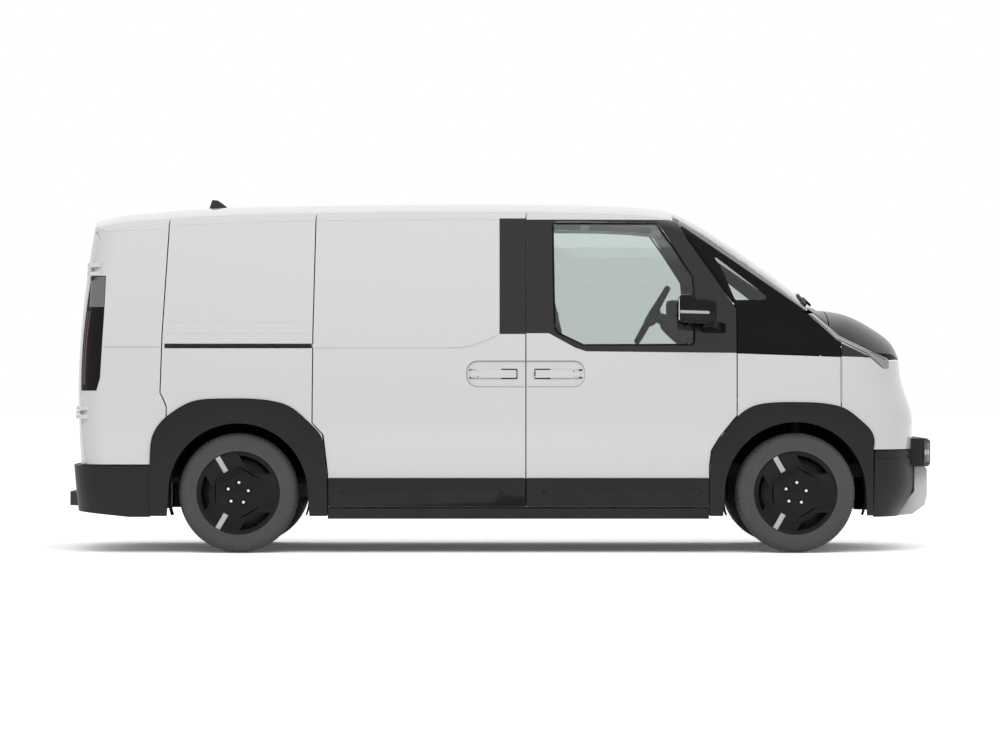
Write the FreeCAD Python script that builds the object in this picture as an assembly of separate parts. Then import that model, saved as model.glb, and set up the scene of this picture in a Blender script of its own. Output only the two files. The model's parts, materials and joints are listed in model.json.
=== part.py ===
import FreeCAD, Part
import math
import os

V = FreeCAD.Vector

# Frame: +X forward, +Y to the left, +Z up, millimetres, origin on the ground under the middle.

# Body shell
WAIST_HALF = 934.0
WAIST_Z = 850.0
REAR_X = -2312.0
SEAM = 6.0
SIDE_WALL = 45.0
SHEET = 20.0
GLASS = 5.0
GLASS_INSET = 4.0
CLAD = 12.0
PLINTH = 4.0
PILLAR_IN = 105.0
TRIM_MARGIN = 12.0
SEAT_GAP = 0.3

# Wheels and axles
WHEEL_R = 322.0
TYRE_WIDTH = 205.0
RIM_R = 203.0
COVER_R = 222.0
OPENING_R = 208.0
SPOKE_HALF = 106.0
WHEEL_Y = 805.0
FRONT_AXLE_X = 1586.0
REAR_AXLE_X = -1410.0
AXLE_Z = 322.0
STUB_R = 24.0
BORE_CLEARANCE = 0.05
FRONT_ARCH_R = 385.0
REAR_ARCH_R = 378.0
LINER = 5.0
REAR_LINER_Y = 500.0
FRONT_LINER_Y = 494.0
REAR_LINER_LOW_Z = 400.0
FRONT_LINER_LOW_Z = 475.0
LINER_SKIRT_Y = 665.0
LINER_SKIRT_Z = 200.0
KINGPIN_Y = 775.0
MOTOR_HALF = 230.0
BALL_LOW_Z = 216.0
BALL_HIGH_Z = 432.0

# Side seams, seen from the side
ROOF_SEAM_Y = 770.0
DOOR_LOW_Z = 247.0
SILL_LOW_Z = 183.0
FRONT_SEAM_X = 1270.0
MID_SEAM_X = 136.0
SLIDE_SEAM_X = -1008.0
CORNER_SEAM_X = -1818.0
FASCIA_SEAM_X = 1832.0
BELT_Z = 1080.0
TRIM_TOP_Z = 403.0
HINGE_X = 1262.0
HINGE_Y = 948.0
STRAP_IN_R = 62.0
STRAP_OUT_R = 74.0
STRAP_LEVELS = (742.0, 812.0)
STRAP_HEIGHT = 20.0
STRAP_SEAT_WALL = 12.0
STRAP_SEAT_EDGE = 6.0
DOOR_SWING_R = 1128.5
HANDLE_REAR_X = -183.0
HANDLE_FRONT_X = 453.0
HANDLE_LOW_Z = 891.0
HANDLE_HIGH_Z = 1033.0
HANDLE_DEPTH = 12.0
HANDLE_BAR_LOW_Z = 941.0
HANDLE_BAR_HIGH_Z = 983.0
RAIL_Z = 1112.0
FENDER_TOP_Z = 1308.0
BLACK_TOP_Z = 1793.0
CREASE = 3.0
CREASE_DEPTH = 1.5

# Front end
HEADER_X = 932.0
COWL_Z = 1320.0
BONNET_REAR_X = 1773.0
BONNET_EDGE_Z = 1036.0
BONNET_PIVOT_X = 1700.0
BONNET_PIVOT_Z = 1280.0
BONNET_ARM_Y = 300.0
BUMPER_TOP_Z = 552.0
GUARD_FRONT_X = 2347.5
GUARD_LOW_Z = 458.0
GUARD_TOP_Z = 611.0
LEDGE_Z = 505.0

# Rear end
REAR_BUMPER_TOP_Z = 473.0
REAR_BUMPER_OUT = 34.0
REAR_DOOR_TOP_Z = 1725.0
REAR_HINGE_LOW = (-2270.0, 874.0, 755.0)
REAR_HINGE_HIGH = (-2213.0, 834.0, 1525.0)
HINGE_PIN_R = 12.0
HINGE_MIDDLE = 16.0
HINGE_PLAY = 5.0

# Cab
STEER_CENTRE = (855.0, 400.0, 1294.0)
STEER_DIR = (0.868, 0.0, -0.497)
HUB_DEPTH = 38.0
SEAT_TOP_Z = 700.0

# Floor
FLOOR_TOP_Z = 440.0
FLOOR_THICK = 40.0
FLOOR_HALF = 860.0
RAIL_LOW_Z = 365.0
BULKHEAD_X = 60.0
LOAD_POINT_MID_X = -900.0
LOAD_POINT_X = 1500.0
LOAD_POINT_Y = 700.0
LOAD_POINT_R = 5.5
TOW_EYE_Y = -380.0
TOW_EYE_Z = 530.0
TOW_EYE_R = 9.0


def lerp(a, b, s):
    return a + (b - a) * s


def ease(u):
    u = min(max(u, 0.0), 1.0)
    return u * u * (3.0 - 2.0 * u)


def slope(table, i):
    last = len(table) - 1
    if i in (0, last):
        a, b = (0, 1) if i == 0 else (last - 1, last)
        return (table[b][1] - table[a][1]) / (table[b][0] - table[a][0])
    before = (table[i][1] - table[i - 1][1]) / (table[i][0] - table[i - 1][0])
    after = (table[i + 1][1] - table[i][1]) / (table[i + 1][0] - table[i][0])
    if before * after <= 0.0:
        return 0.0
    return 2.0 * before * after / (before + after)


def blend(table, x):
    """Smooth value at x from a table of (x, value) pairs."""
    if x <= table[0][0]:
        return table[0][1]
    for i in range(len(table) - 1):
        x0, y0 = table[i]
        x1, y1 = table[i + 1]
        if x <= x1:
            h = x1 - x0
            u = (x - x0) / h
            a = (1.0 + 2.0 * u) * (1.0 - u) ** 2 * y0 + u * (1.0 - u) ** 2 * h * slope(table, i)
            return a + u * u * (3.0 - 2.0 * u) * y1 + u * u * (u - 1.0) * h * slope(table, i + 1)
    return table[-1][1]


def half_width(z):
    if z > WAIST_Z:
        return WAIST_HALF - 98.0 * ((z - WAIST_Z) / 950.0) ** 1.7
    return WAIST_HALF - 34.0 * ((WAIST_Z - z) / 650.0) ** 2


def rear_x(z):
    if z > WAIST_Z:
        return REAR_X + 90.0 * ((z - WAIST_Z) / 943.0) ** 1.9
    return REAR_X + 40.0 * ((WAIST_Z - z) / 650.0) ** 2


NOSE = ((130, 2190), (190, 2215), (330, 2245), (460, 2262), (600, 2267), (720, 2267), (790, 2250),
        (850, 2217), (940, 2208), (1080, 2192), (1250, 2184), (1500, 2172), (2000, 2158))


def bezier(points):
    curve = Part.BezierCurve()
    curve.setPoles(points)
    return curve.toShape()


def plan_wire(z, inset, back):
    """Outline of the body at height z, moved in by inset and out at the rear by back."""
    w = half_width(z) - inset
    xr = rear_x(z) + inset - back
    xf = blend(NOSE, z) - inset
    s = ease((z - 1010.0) / 283.0)
    start = lerp(1000.0, 700.0, s)
    pull = lerp(1900.0, 1600.0, s)
    inner_y = 400.0
    corner = (xf - lerp(22.0, 60.0, s), w - lerp(28.0, 47.0, s))
    bow = (xf - 17.0, inner_y)
    reach = inner_y * 0.55 / abs(bow[1] - corner[1])
    middle = (bow[0] + (bow[0] - corner[0]) * reach, bow[1] + (bow[1] - corner[1]) * reach)
    rear_bow = 35.0
    rear_round = 150.0 - inset
    yr = w - rear_round
    c0 = (xr + rear_bow + rear_round, w)
    c1 = (xr + rear_bow + rear_round * 0.42, w)
    c2 = (xr + rear_bow + 4.0, yr + rear_round * 0.42)
    c3 = (xr + rear_bow, yr)
    a = (xr - rear_bow * 0.33, yr * 0.45)

    def left(p):
        return V(p[0], p[1], z)

    def right(p):
        return V(p[0], -p[1], z)

    edges = [Part.makeLine(right(c0), V(start, -w, z)),
             bezier([V(start, -w, z), V(pull, -w, z), right(corner), right(bow)]),
             bezier([right(bow), right(middle), left(middle), left(bow)]),
             bezier([left(bow), left(corner), V(pull, w, z), V(start, w, z)]),
             Part.makeLine(V(start, w, z), left(c0)),
             bezier([left(c0), left(c1), left(c2), left(c3)]),
             bezier([left(c3), left(a), right(a), right(c3)]),
             bezier([right(c3), right(c2), right(c1), right(c0)])]
    return Part.Wire(edges)


def tub(inset, back=0.0):
    low, high, count = 130.0, 2000.0, 13
    step = (high - low) / (count - 1)
    wires = [plan_wire(low + step * i, inset, back) for i in range(count)]
    return Part.makeLoft(wires, True, False)


ROOF = ((-2450, 1748), (-2194, 1814), (-2061, 1842), (-1861, 1860), (-1562, 1881), (-963, 1896),
        (-221, 1903), (334, 1899), (700, 1887), (866, 1871), (966, 1848), (1032, 1816), (1132, 1760),
        (1298, 1649), (1498, 1507), (1640, 1395), (1740, 1313))
BONNET_MIDDLE = ((1740, 1313), (1790, 1309), (1860, 1299), (1940, 1275), (2030, 1228), (2100, 1182),
                 (2145, 1142), (2174, 1090), (2200, 1010), (2250, 880), (2400, 600))
BONNET_SIDE = ((1676, 1290), (1720, 1255), (1775, 1208), (1828, 1165), (1920, 1118), (2017, 1074),
               (2096, 1041), (2135, 1005), (2165, 950), (2210, 840), (2330, 560))
ACROSS = ((0, 0), (250, 7), (500, 28), (680, 51), (770, 68), (820, 95), (860, 140), (920, 235), (1000, 400))


def spline(points):
    curve = Part.BSplineCurve()
    curve.interpolate(Points=[V(*p) for p in points], Parameters=[float(i) for i in range(len(points))])
    return curve.toShape()


def top_wire(y, inset):
    """Side-view outline of roof, windscreen and bonnet at one distance from the middle."""
    ay = abs(y)
    fall = blend(ACROSS, ay)
    s = min((ay / 800.0) ** 2.2, 1.0) + max(ay - 800.0, 0.0) * 0.002
    x_cowl = lerp(1740.0, 1676.0, s)
    z_cowl = lerp(1313.0, 1290.0, s)
    down = inset * 1.1
    roof = []
    for x, z in ROOF:
        u = max((x - 966.0) / 774.0, 0.0)
        xx = x if u == 0.0 else 966.0 + u * (x_cowl - 966.0)
        roof.append((xx, y, z - (1.0 - u) * fall - u * (1313.0 - z_cowl) - down))
    bonnet = []
    for a, b in zip(BONNET_MIDDLE, BONNET_SIDE):
        bonnet.append((lerp(a[0], b[0], s), y, lerp(a[1], b[1], s) - down))
    a = V(*roof[0])
    b = V(*bonnet[-1])
    c = V(b.x + 150.0, y, 50.0)
    d = V(a.x, y, 50.0)
    return Part.Wire([spline(roof), spline(bonnet), Part.makeLine(b, c), Part.makeLine(c, d),
                      Part.makeLine(d, a)])


def roofline(inset):
    return Part.makeLoft([top_wire(-1000.0 + 100.0 * i, inset) for i in range(21)], True, False)


MASTERS = {}


def master(inset):
    """The whole body as one solid, with its surface moved in by inset."""
    if inset not in MASTERS:
        MASTERS[inset] = tub(inset).common(roofline(inset))
    return MASTERS[inset]


SKINS = {}


def skin(outer, inner):
    key = (outer, inner)
    if key not in SKINS:
        SKINS[key] = master(outer).cut(master(inner))
    return SKINS[key]


def box(x0, x1, y0, y1, z0, z1):
    return Part.makeBox(x1 - x0, y1 - y0, z1 - z0, V(x0, y0, z0))


def rod(a, b, radius):
    a = V(*a)
    b = V(*b)
    return Part.makeCylinder(radius, (b - a).Length, a, b - a)


def tube(a, b, outer, inner):
    return rod(a, b, outer).cut(rod(a, b, inner))


def corner_arcs(points, radius):
    """Closed outline through points with each corner rounded by radius or its own third value."""
    edges = []
    count = len(points)
    tangents = []
    for i in range(count):
        p = V(points[i][0], points[i][1], 0)
        a = V(points[i - 1][0], points[i - 1][1], 0)
        b = V(points[(i + 1) % count][0], points[(i + 1) % count][1], 0)
        r = points[i][2] if len(points[i]) > 2 else radius
        u = (a - p).normalize()
        w = (b - p).normalize()
        half = u.getAngle(w) / 2.0
        if r <= 0.0 or half > 1.555:
            tangents.append((p, None, p))
            continue
        d = min(r / math.tan(half), (a - p).Length * 0.48, (b - p).Length * 0.48)
        r = d * math.tan(half)
        centre = p + (u + w).normalize() * (r / math.sin(half))
        mid = centre + (p - centre).normalize() * r
        tangents.append((p + u * d, mid, p + w * d))
    for i in range(count):
        start, mid, end = tangents[i]
        if mid is not None:
            edges.append(Part.Arc(start, mid, end).toShape())
        after = tangents[(i + 1) % count][0]
        if (after - end).Length > 1e-4:
            edges.append(Part.makeLine(end, after))
    return Part.Wire(edges)


def plate_xz(points, y0, y1, radius=0.0, grow=0.0):
    face = Part.Face(corner_arcs(points, radius))
    if grow:
        face = face.makeOffset2D(grow)
    face.rotate(V(0, 0, 0), V(1, 0, 0), 90)
    face.translate(V(0, y1, 0))
    return face.extrude(V(0, y0 - y1, 0))


def plate_xy(points, z0, z1, radius=0.0):
    face = Part.Face(corner_arcs(points, radius))
    face.translate(V(0, 0, z0))
    return face.extrude(V(0, 0, z1 - z0))


def plate_yz(points, x0, x1, radius=0.0):
    face = Part.Face(corner_arcs(points, radius))
    face.rotate(V(0, 0, 0), V(1, 1, 1), 120)
    face.translate(V(x0, 0, 0))
    return face.extrude(V(x1 - x0, 0, 0))


def right_side(points, radius=0.0, inner=-420.0, grow=0.0):
    return plate_xz(points, -1100.0, inner, radius, grow)


def mirrored(shape):
    return shape.mirror(V(0, 0, 0), V(0, 1, 0))


def both(shape):
    return Part.makeCompound([shape, mirrored(shape)])


def arch_cutter(axle_x, radius, inner=-420.0):
    """Wheel opening as seen from the side: a round arch that runs down past the sill."""
    ring = Part.makeCylinder(radius, 700.0, V(axle_x, inner, AXLE_Z), V(0, -1, 0))
    below = plate_xz([(axle_x - radius, AXLE_Z), (axle_x + radius, AXLE_Z),
                      (axle_x + radius + 16.0, 100.0), (axle_x - radius - 16.0, 100.0)],
                     inner - 700.0, inner)
    return ring.fuse(below)


H = SEAM / 2.0
TOP = 2000.0

# Shapes of panels in side view
FRONT_DOOR = [(MID_SEAM_X + H, DOOR_LOW_Z), (MID_SEAM_X + H, TOP), (HEADER_X - 9, TOP),
              (HEADER_X - 9, 1806), (945, 1786), (FRONT_SEAM_X - H, 1311), (FRONT_SEAM_X - H, 738),
              (1252, 722), (1173, 624), (1129, 552), (1119, 470), (1119, DOOR_LOW_Z)]
SLIDING_DOOR = [(MID_SEAM_X - H, DOOR_LOW_Z), (MID_SEAM_X - H, TOP), (-980 + H, TOP),
                (-994 + H, 1789), (SLIDE_SEAM_X + H, 1171), (-1012 + H, 700), (-950, 636), (-926, 430),
                (-926, DOOR_LOW_Z)]
QUARTER = [(-1774 + H, TOP), (-1786 + H, 1708), (CORNER_SEAM_X + H, 1171), (-1828 + H, 860),
           (-1813 + H, 833), (-1792, 790), (-1792, DOOR_LOW_Z), (-932 - H, DOOR_LOW_Z), (-932 - H, 430),
           (-956 - H, 636),
           (-1012 - H, 700), (SLIDE_SEAM_X - H, 1171), (-994 - H, 1789), (-980 - H, TOP)]
REAR_CORNER = [(-1774 - H, TOP), (-1786 - H, 1708), (CORNER_SEAM_X - H, 1171), (-1828 - H, 860),
               (-1813 - H, 830), (-1798, 786), (-1798, REAR_BUMPER_TOP_Z + H), (-2400, REAR_BUMPER_TOP_Z + H),
               (-2400, TOP)]
FENDER = [(FRONT_SEAM_X + H, FENDER_TOP_Z), (FRONT_SEAM_X + H, 722), (1193, 640), (1142, 560), (1125, 470),
          (1125, DOOR_LOW_Z), (1700, 200), (FASCIA_SEAM_X - H, 200),
          (FASCIA_SEAM_X - H, 1133), (1806, 1145), (1650, 1284), (1620, FENDER_TOP_Z)]
LIGHT_STRIP = [(1653, 1287), (1690, 1288), (1829, 1168), (2017, 1077), (2096, 1044), (2098, 992),
               (2067, 989), (1976, 1062), (1812, 1145)]
PILLAR_STRIP = [(962, 1792), (957, 1774), (1646, 1300), (1658, 1312)]
PILLAR_COVER = [(965.2, 1767.9), (1276.3, FENDER_TOP_Z + SEAT_GAP), (1632.8, FENDER_TOP_Z + SEAT_GAP)]
REAR_TRIM_TOP = [(-1885.6, 470), (-1883, 520), (-1868, 632), (-1830, 697), (-1755, 762), (-1657, 814),
                 (-1523, 830), (-1407, 831),
                 (-1217, 816), (-1147, 795), (-1023, 698), (-966, 632), (-943, 526), (-932, 408)]
FRONT_TRIM_TOP = [(1123, 398), (1126, 467), (1136, 548), (1181, 620), (1260, 720), (1343, 784), (1442, 807),
                  (1582, 811), (1770, 800), (1853, 776), (1942, 711), (1993, 661), (2009, 553)]
FRONT_GLASS = [(280, 1787), (845, 1783), (1034, 1480), (1040, 1392), (1030, 1118), (450, 1118), (330, 1170),
               (284, 1240)]
QUARTER_GLASS = [(1131, 1612), (1455, 1362), (1262, 1359), (1180, 1547)]


CREASES = [((-2151, 1728), (-1793, 1740)), ((-1775, 1746), (-1722, 1762), (-1320, 1778), (-1012, 1786)),
           ((-1001, 1786), (-500, 1791), (130, 1793)), ((-2124, 1101), (-1822, 1101)),
           ((-1812, 1239), (-1012, 1239)), ((-1813, 1177), (-1012, 1177)),
           ((-1003, 1101), (-190, 1101), (-145, 1105), (-100, 1119), (-54, 1142), (-8, 1172))]


def crease_cut():
    """Shallow pressed lines along the side, as one tool for all the panels."""
    lines = []
    for line in CREASES:
        upper = [(x, z + CREASE / 2.0) for x, z in line]
        lower = [(x, z - CREASE / 2.0) for x, z in reversed(line)]
        lines.append(plate_xz(upper + lower, -1100, -420))
    return Part.makeCompound(lines).cut(master(CREASE_DEPTH))


def hinge_strap(z0, z1):
    """Curved strap of the right front door, concentric with its hinge line."""
    centre = V(HINGE_X, -HINGE_Y, z0)
    ring = Part.makeCylinder(STRAP_OUT_R, z1 - z0, centre).cut(Part.makeCylinder(STRAP_IN_R, z1 - z0, centre))
    reach = STRAP_OUT_R + 20.0
    sector = plate_xy([(HINGE_X, -HINGE_Y), (HINGE_X - reach, -HINGE_Y + reach * 0.62),
                       (HINGE_X - reach, -HINGE_Y + reach * 1.5), (HINGE_X + reach, -HINGE_Y + reach * 1.5),
                       (HINGE_X + reach, -HINGE_Y + reach * 0.95)], z0, z1)
    return ring.common(sector)


def hinge_seat(level):
    """Bracket inside the right front fender, which the strap at that level runs along."""
    low, high = level - STRAP_SEAT_EDGE, level + STRAP_HEIGHT + STRAP_SEAT_EDGE
    centre = V(HINGE_X, -HINGE_Y, low)
    inner = STRAP_OUT_R + SEAT_GAP
    ring = Part.makeCylinder(inner + STRAP_SEAT_WALL, high - low, centre).cut(
        Part.makeCylinder(inner, high - low, centre))
    reach = 2.0 * STRAP_OUT_R
    sector = plate_xy([(HINGE_X, -HINGE_Y), (HINGE_X + reach, -HINGE_Y + reach * 0.30),
                       (HINGE_X + reach, -HINGE_Y + reach * 1.60)], low, high)
    return ring.common(sector)


def front_door_panel(shell):
    """Lower shell of the right front door, up to its belt line."""
    return shell.cut(front_door_belt(SEAT_GAP)).cut(handle_recess()).fuse(handle_bar(180, 425)).fuse(
        hinge_strap(STRAP_LEVELS[0], STRAP_LEVELS[0] + STRAP_HEIGHT)).fuse(
            hinge_strap(STRAP_LEVELS[1], STRAP_LEVELS[1] + STRAP_HEIGHT))


def front_door_belt(grow=0.0):
    top = BLACK_TOP_Z + grow
    return right_side([(-100, top), (-100, 1180), (260, 1180), (400, 1103), (460, BELT_Z + H),
                       (1400, BELT_Z + H - 10), (1400, top)])


def handle_recess():
    outline = plate_xz([(HANDLE_REAR_X, HANDLE_LOW_Z), (HANDLE_FRONT_X, HANDLE_LOW_Z),
                        (HANDLE_FRONT_X, HANDLE_HIGH_Z), (HANDLE_REAR_X, HANDLE_HIGH_Z)], -1100, -800, 60)
    return outline.cut(master(HANDLE_DEPTH))


def handle_bar(x0, x1):
    """Flush bar across the recess, with finger room behind its middle."""
    middle = (x0 + x1) / 2.0
    bar = plate_xz([(x0, HANDLE_BAR_LOW_Z), (x1, HANDLE_BAR_LOW_Z), (x1, HANDLE_BAR_HIGH_Z),
                    (x0, HANDLE_BAR_HIGH_Z)],
                   -1100, -800, 9)
    return bar.common(skin(0.0, SIDE_WALL)).cut(
        box(middle - 70, middle + 70, -WAIST_HALF + 7.0, -800, HANDLE_BAR_LOW_Z - 1,
            HANDLE_BAR_HIGH_Z + 1).common(
            skin(0.0, HANDLE_DEPTH)))


def front_door_frame(shell):
    """Gloss black window frame of the right front door."""
    return shell.common(front_door_belt()).cut(right_side(FRONT_GLASS, 30.0))


def mirror_unit():
    head = plate_xz([(950, 1235), (1120, 1222), (1158, 1260), (1150, 1340), (1100, 1390), (965, 1392)],
                    -1125, -945, 35)
    foot = plate_xz([(1075, 1180), (1215, 1180), (1215, 1236), (1090, 1250)], -1010, -half_width(1200) - 0.3,
                    14)
    pocket = plate_xz([(930, 1258), (962, 1258), (962, 1370), (930, 1370)], -1112, -958, 4)
    return head.cut(pocket).fuse(foot)


def pane(outline, radius):
    return skin(GLASS_INSET, GLASS_INSET + GLASS).common(right_side(outline, radius, grow=-SEAT_GAP))


def cladding(outline, radius):
    return skin(-CLAD, -SEAT_GAP).common(right_side(outline, radius))


def front_door_trim():
    return cladding([(MID_SEAM_X + H, DOOR_LOW_Z + 1), (MID_SEAM_X + H, TRIM_TOP_Z), (1119, TRIM_TOP_Z),
                     (1119, DOOR_LOW_Z + 1)], 8.0)


def sliding_door(shell):
    carriage = right_side([(-1062, RAIL_Z - 9), (-990, RAIL_Z - 9), (-990, RAIL_Z + 9), (-1062, RAIL_Z + 9)])
    carriage = carriage.common(master(GLASS_INSET + GLASS + SEAT_GAP)).cut(master(SHEET - SEAT_GAP))
    shell = shell.cut(sliding_band_region(0.0)).cut(handle_recess()).cut(crease_cut())
    return shell.fuse(handle_bar(-164, 86)).fuse(carriage)


def sliding_band_region(inner):
    return right_side([(-6 + inner, 1800 - inner), (-6 + inner, 1176 + inner), (200, 1176 + inner),
                       (200, 1800 - inner)])


def sliding_door_band(shell):
    return shell.common(sliding_band_region(SEAT_GAP))


def sliding_door_trim():
    return cladding([(-926, DOOR_LOW_Z + 1), (-926, TRIM_TOP_Z), (MID_SEAM_X - H, TRIM_TOP_Z),
                     (MID_SEAM_X - H, DOOR_LOW_Z + 1)], 8.0)


def quarter_panel():
    shell = skin(0.0, SIDE_WALL).common(right_side(QUARTER)).cut(roof_region(H))
    channel = right_side([(-1806, RAIL_Z - 13), (-1006, RAIL_Z - 13), (-1006, RAIL_Z + 13),
                          (-1806, RAIL_Z + 13)])
    shell = shell.cut(arch_cutter(REAR_AXLE_X, REAR_ARCH_R)).cut(channel.cut(master(SHEET)))
    return shell.cut(crease_cut())


def door_rail():
    bar = right_side([(-1803, RAIL_Z - 10), (-1013, RAIL_Z - 10), (-1013, RAIL_Z + 10),
                      (-1803, RAIL_Z + 10)], 4)
    return bar.common(master(GLASS_INSET)).cut(master(GLASS_INSET + GLASS))


def rear_door_region(grow=0.0):
    return plate_yz([(-861 - grow, REAR_BUMPER_TOP_Z + 2 * H + 4 - grow),
                     (-796 - grow, REAR_DOOR_TOP_Z + grow, 60),
                     (796 + grow, REAR_DOOR_TOP_Z + grow, 60),
                     (861 + grow, REAR_BUMPER_TOP_Z + 2 * H + 4 - grow)],
                    -2400, -2150)


def rear_corner_panel():
    shell = skin(0.0, SIDE_WALL).common(right_side(REAR_CORNER, 0.0, 0.0)).cut(roof_region(H))
    shell = shell.cut(rear_door_region(SEAM)).cut(mirrored(rear_door_region(SEAM)))
    shell = shell.cut(box(-2400, -2000, -700, 700, 0, REAR_DOOR_TOP_Z - 5))
    return shell.cut(plate_xz(lamp_points(SEAT_GAP), -1100, -700)).cut(crease_cut())


def lamp_points(grow=0.0):
    pts = [(-2335, 872), (-2335, 1488), (-2122, 1490), (-2128, 1320), (-2150, 940), (-2170, 872)]
    cx = sum(p[0] for p in pts) / 6
    cz = sum(p[1] for p in pts) / 6
    return [(x + grow * (1 if x > cx else -1), z + grow * (1 if z > cz else -1)) for x, z in pts]


def tail_lamp():
    lamp = skin(0.0, SHEET).common(plate_xz(lamp_points(), -1100, -700))
    return lamp.cut(rear_door_region(SEAM + 2.0))


def rear_door_panel():
    """Right rear door, the whole thickness of the door."""
    region = rear_door_region().common(box(-2400, -2150, -900, -H, 400, 1800))
    door = skin(0.0, SIDE_WALL).common(region)
    return door.fuse(rear_hinge_moving(REAR_HINGE_LOW[2])).fuse(rear_hinge_moving(REAR_HINGE_HIGH[2]))


def hinge_axis_point(z):
    u = (z - REAR_HINGE_LOW[2]) / (REAR_HINGE_HIGH[2] - REAR_HINGE_LOW[2])
    return (lerp(REAR_HINGE_LOW[0], REAR_HINGE_HIGH[0], u), -lerp(REAR_HINGE_LOW[1], REAR_HINGE_HIGH[1], u),
            z)


def rear_door_edge(z):
    """Distance of the rear door's side edge from the middle, at height z."""
    low = REAR_BUMPER_TOP_Z + 2 * H + 4
    return lerp(861.0, 796.0, (z - low) / (REAR_DOOR_TOP_Z - low))


def rear_hinge_moving(z):
    """Half of one outside hinge that is fixed on the right rear door."""
    x, y, middle = hinge_axis_point(z)
    edge = rear_door_edge(z)
    half = HINGE_MIDDLE / 2.0
    plate = skin(-CLAD, 0.0).common(box(-2400, -2200, 3 - edge, -780, z - half, z + half))
    arm = box(x - 8, x + 8, y, 12 - edge, z - half, z + half).cut(master(0.0))
    knuckle = rod(hinge_axis_point(z - half), hinge_axis_point(z + half), HINGE_PIN_R)
    return plate.fuse(arm).fuse(knuckle)


def rear_hinge_fixed():
    parts = []
    start = HINGE_MIDDLE / 2.0 + HINGE_PLAY
    for z in (REAR_HINGE_LOW[2], REAR_HINGE_HIGH[2]):
        for a, b in ((-start - 20, -start), (start, start + 20)):
            knuckle = rod(hinge_axis_point(z + a), hinge_axis_point(z + b), HINGE_PIN_R)
            p = hinge_axis_point(z)
            leaf = box(p[0], p[0] + 60, p[1] - 30, p[1] - 2, z + a, z + b)
            leaf = leaf.cut(master(0.0))
            parts.append(knuckle.fuse(leaf))
    return Part.makeCompound(parts)


def roof_region(grow=0.0):
    half = ROOF_SEAM_Y + grow
    return box(-2400, HEADER_X + grow, -half, half, REAR_DOOR_TOP_Z + H - grow, TOP + 100.0)


def roof_panel():
    return skin(0.0, SHEET).common(roof_region(-H))


def body_frame():
    """Roof rails, headers and middle pillars inside the skin."""
    under = master(SHEET + SEAT_GAP)
    edge = ROOF_SEAM_Y + H
    bars = []
    for sign in (-1, 1):
        for x0, x1, out in ((-2120, SLIDE_SEAM_X - SEAM, edge - SEAT_GAP),
                            (SLIDE_SEAM_X - SEAM, 915, edge - SEAM)):
            y0, y1 = sorted((sign * (edge - 80), sign * out))
            bars.append(box(x0, x1, y0, y1, REAR_DOOR_TOP_Z + SEAT_GAP, TOP))
    for x in (-2095, -1560, -1010, -460, 100, 480, 880):
        bars.append(box(x - 25, x + 25, -edge + 80, edge - 80, REAR_DOOR_TOP_Z + SEAT_GAP, TOP))
    solid = bars[0]
    for bar in bars[1:]:
        solid = solid.fuse(bar)
    frame = solid.common(under).cut(master(SIDE_WALL + TRIM_MARGIN))
    post = skin(SIDE_WALL + SEAM, PILLAR_IN).common(
        right_side([(BULKHEAD_X + 12 + SEAT_GAP, FLOOR_TOP_Z + SEAT_GAP),
                    (MID_SEAM_X + 60, FLOOR_TOP_Z + SEAT_GAP),
                    (MID_SEAM_X + 60, TOP), (BULKHEAD_X + 12 + SEAT_GAP, TOP)], 0.0, -640.0))
    return frame.fuse(post).fuse(mirrored(post))


def windscreen():
    low = COWL_Z + SEAT_GAP
    rear = HEADER_X - H + SEAT_GAP
    region = plate_xz([(rear, 2100), (rear, 1815), (962, 1793.4), (1646.6, low), (1900, low), (1900, 1500)],
                      -1000, 1000)
    return skin(GLASS_INSET, GLASS_INSET + GLASS).common(region)


def pillar_strip():
    return skin(0.0, SHEET).common(right_side(PILLAR_STRIP))


def pillar_cover():
    return skin(0.0, SHEET).common(right_side(PILLAR_COVER)).cut(right_side(QUARTER_GLASS, 14.0))


def cowl():
    region = plate_xz([(1647, COWL_Z), (BONNET_REAR_X - H, COWL_Z), (BONNET_REAR_X - H, 1224), (1698, 1289),
                       (1659, 1312.5)], -1000, 1000)
    panel = skin(0.0, SHEET).common(region)
    for sign in (-1, 1):
        y0, y1 = sorted((sign * (BONNET_ARM_Y + 9), sign * (BONNET_ARM_Y + 19)))
        ear = plate_xz([(1688, 1268), (1712, 1268), (1716, 1312), (1684, 1312)], y0, y1,
                       6.0).common(master(5.0))
        pin = rod((BONNET_PIVOT_X, sign * (BONNET_ARM_Y - 10), BONNET_PIVOT_Z),
                  (BONNET_PIVOT_X, sign * (BONNET_ARM_Y + 12), BONNET_PIVOT_Z), 6.0)
        panel = panel.fuse(ear).fuse(pin)
    return panel


def bonnet():
    region = plate_xz([(BONNET_REAR_X + H, 1400), (BONNET_REAR_X + H, 1218), (1831, 1172), (2019, 1081),
                       (2100, 1046), (2110, BONNET_EDGE_Z + H), (2300, BONNET_EDGE_Z + H), (2300, 1400)],
                      -1000, 1000)
    panel = skin(0.0, SHEET).common(region)
    px, pz = BONNET_PIVOT_X, BONNET_PIVOT_Z
    for sign in (-1, 1):
        y = sign * BONNET_ARM_Y
        arm = plate_xz([(px - 12, pz + 10), (px + 12, pz + 8), (px + 14, pz - 14), (px + 46, pz - 76),
                        (px + 90, pz - 76), (px + 108, pz - 20), (px + 112, pz), (px + 178, pz),
                        (px + 178, pz - 48), (px + 130, pz - 44), (px + 108, pz - 98), (px + 36, pz - 98),
                        (px - 12, pz - 12)], y - 6, y + 6, 8.0)
        arm = arm.cut(rod((px, y - 20, pz), (px, y + 20, pz), 6.0 + BORE_CLEARANCE))
        panel = panel.fuse(arm.common(master(10.0)))
    return panel


def light_strip():
    return skin(0.0, SHEET).common(right_side(LIGHT_STRIP, 4.0))


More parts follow.
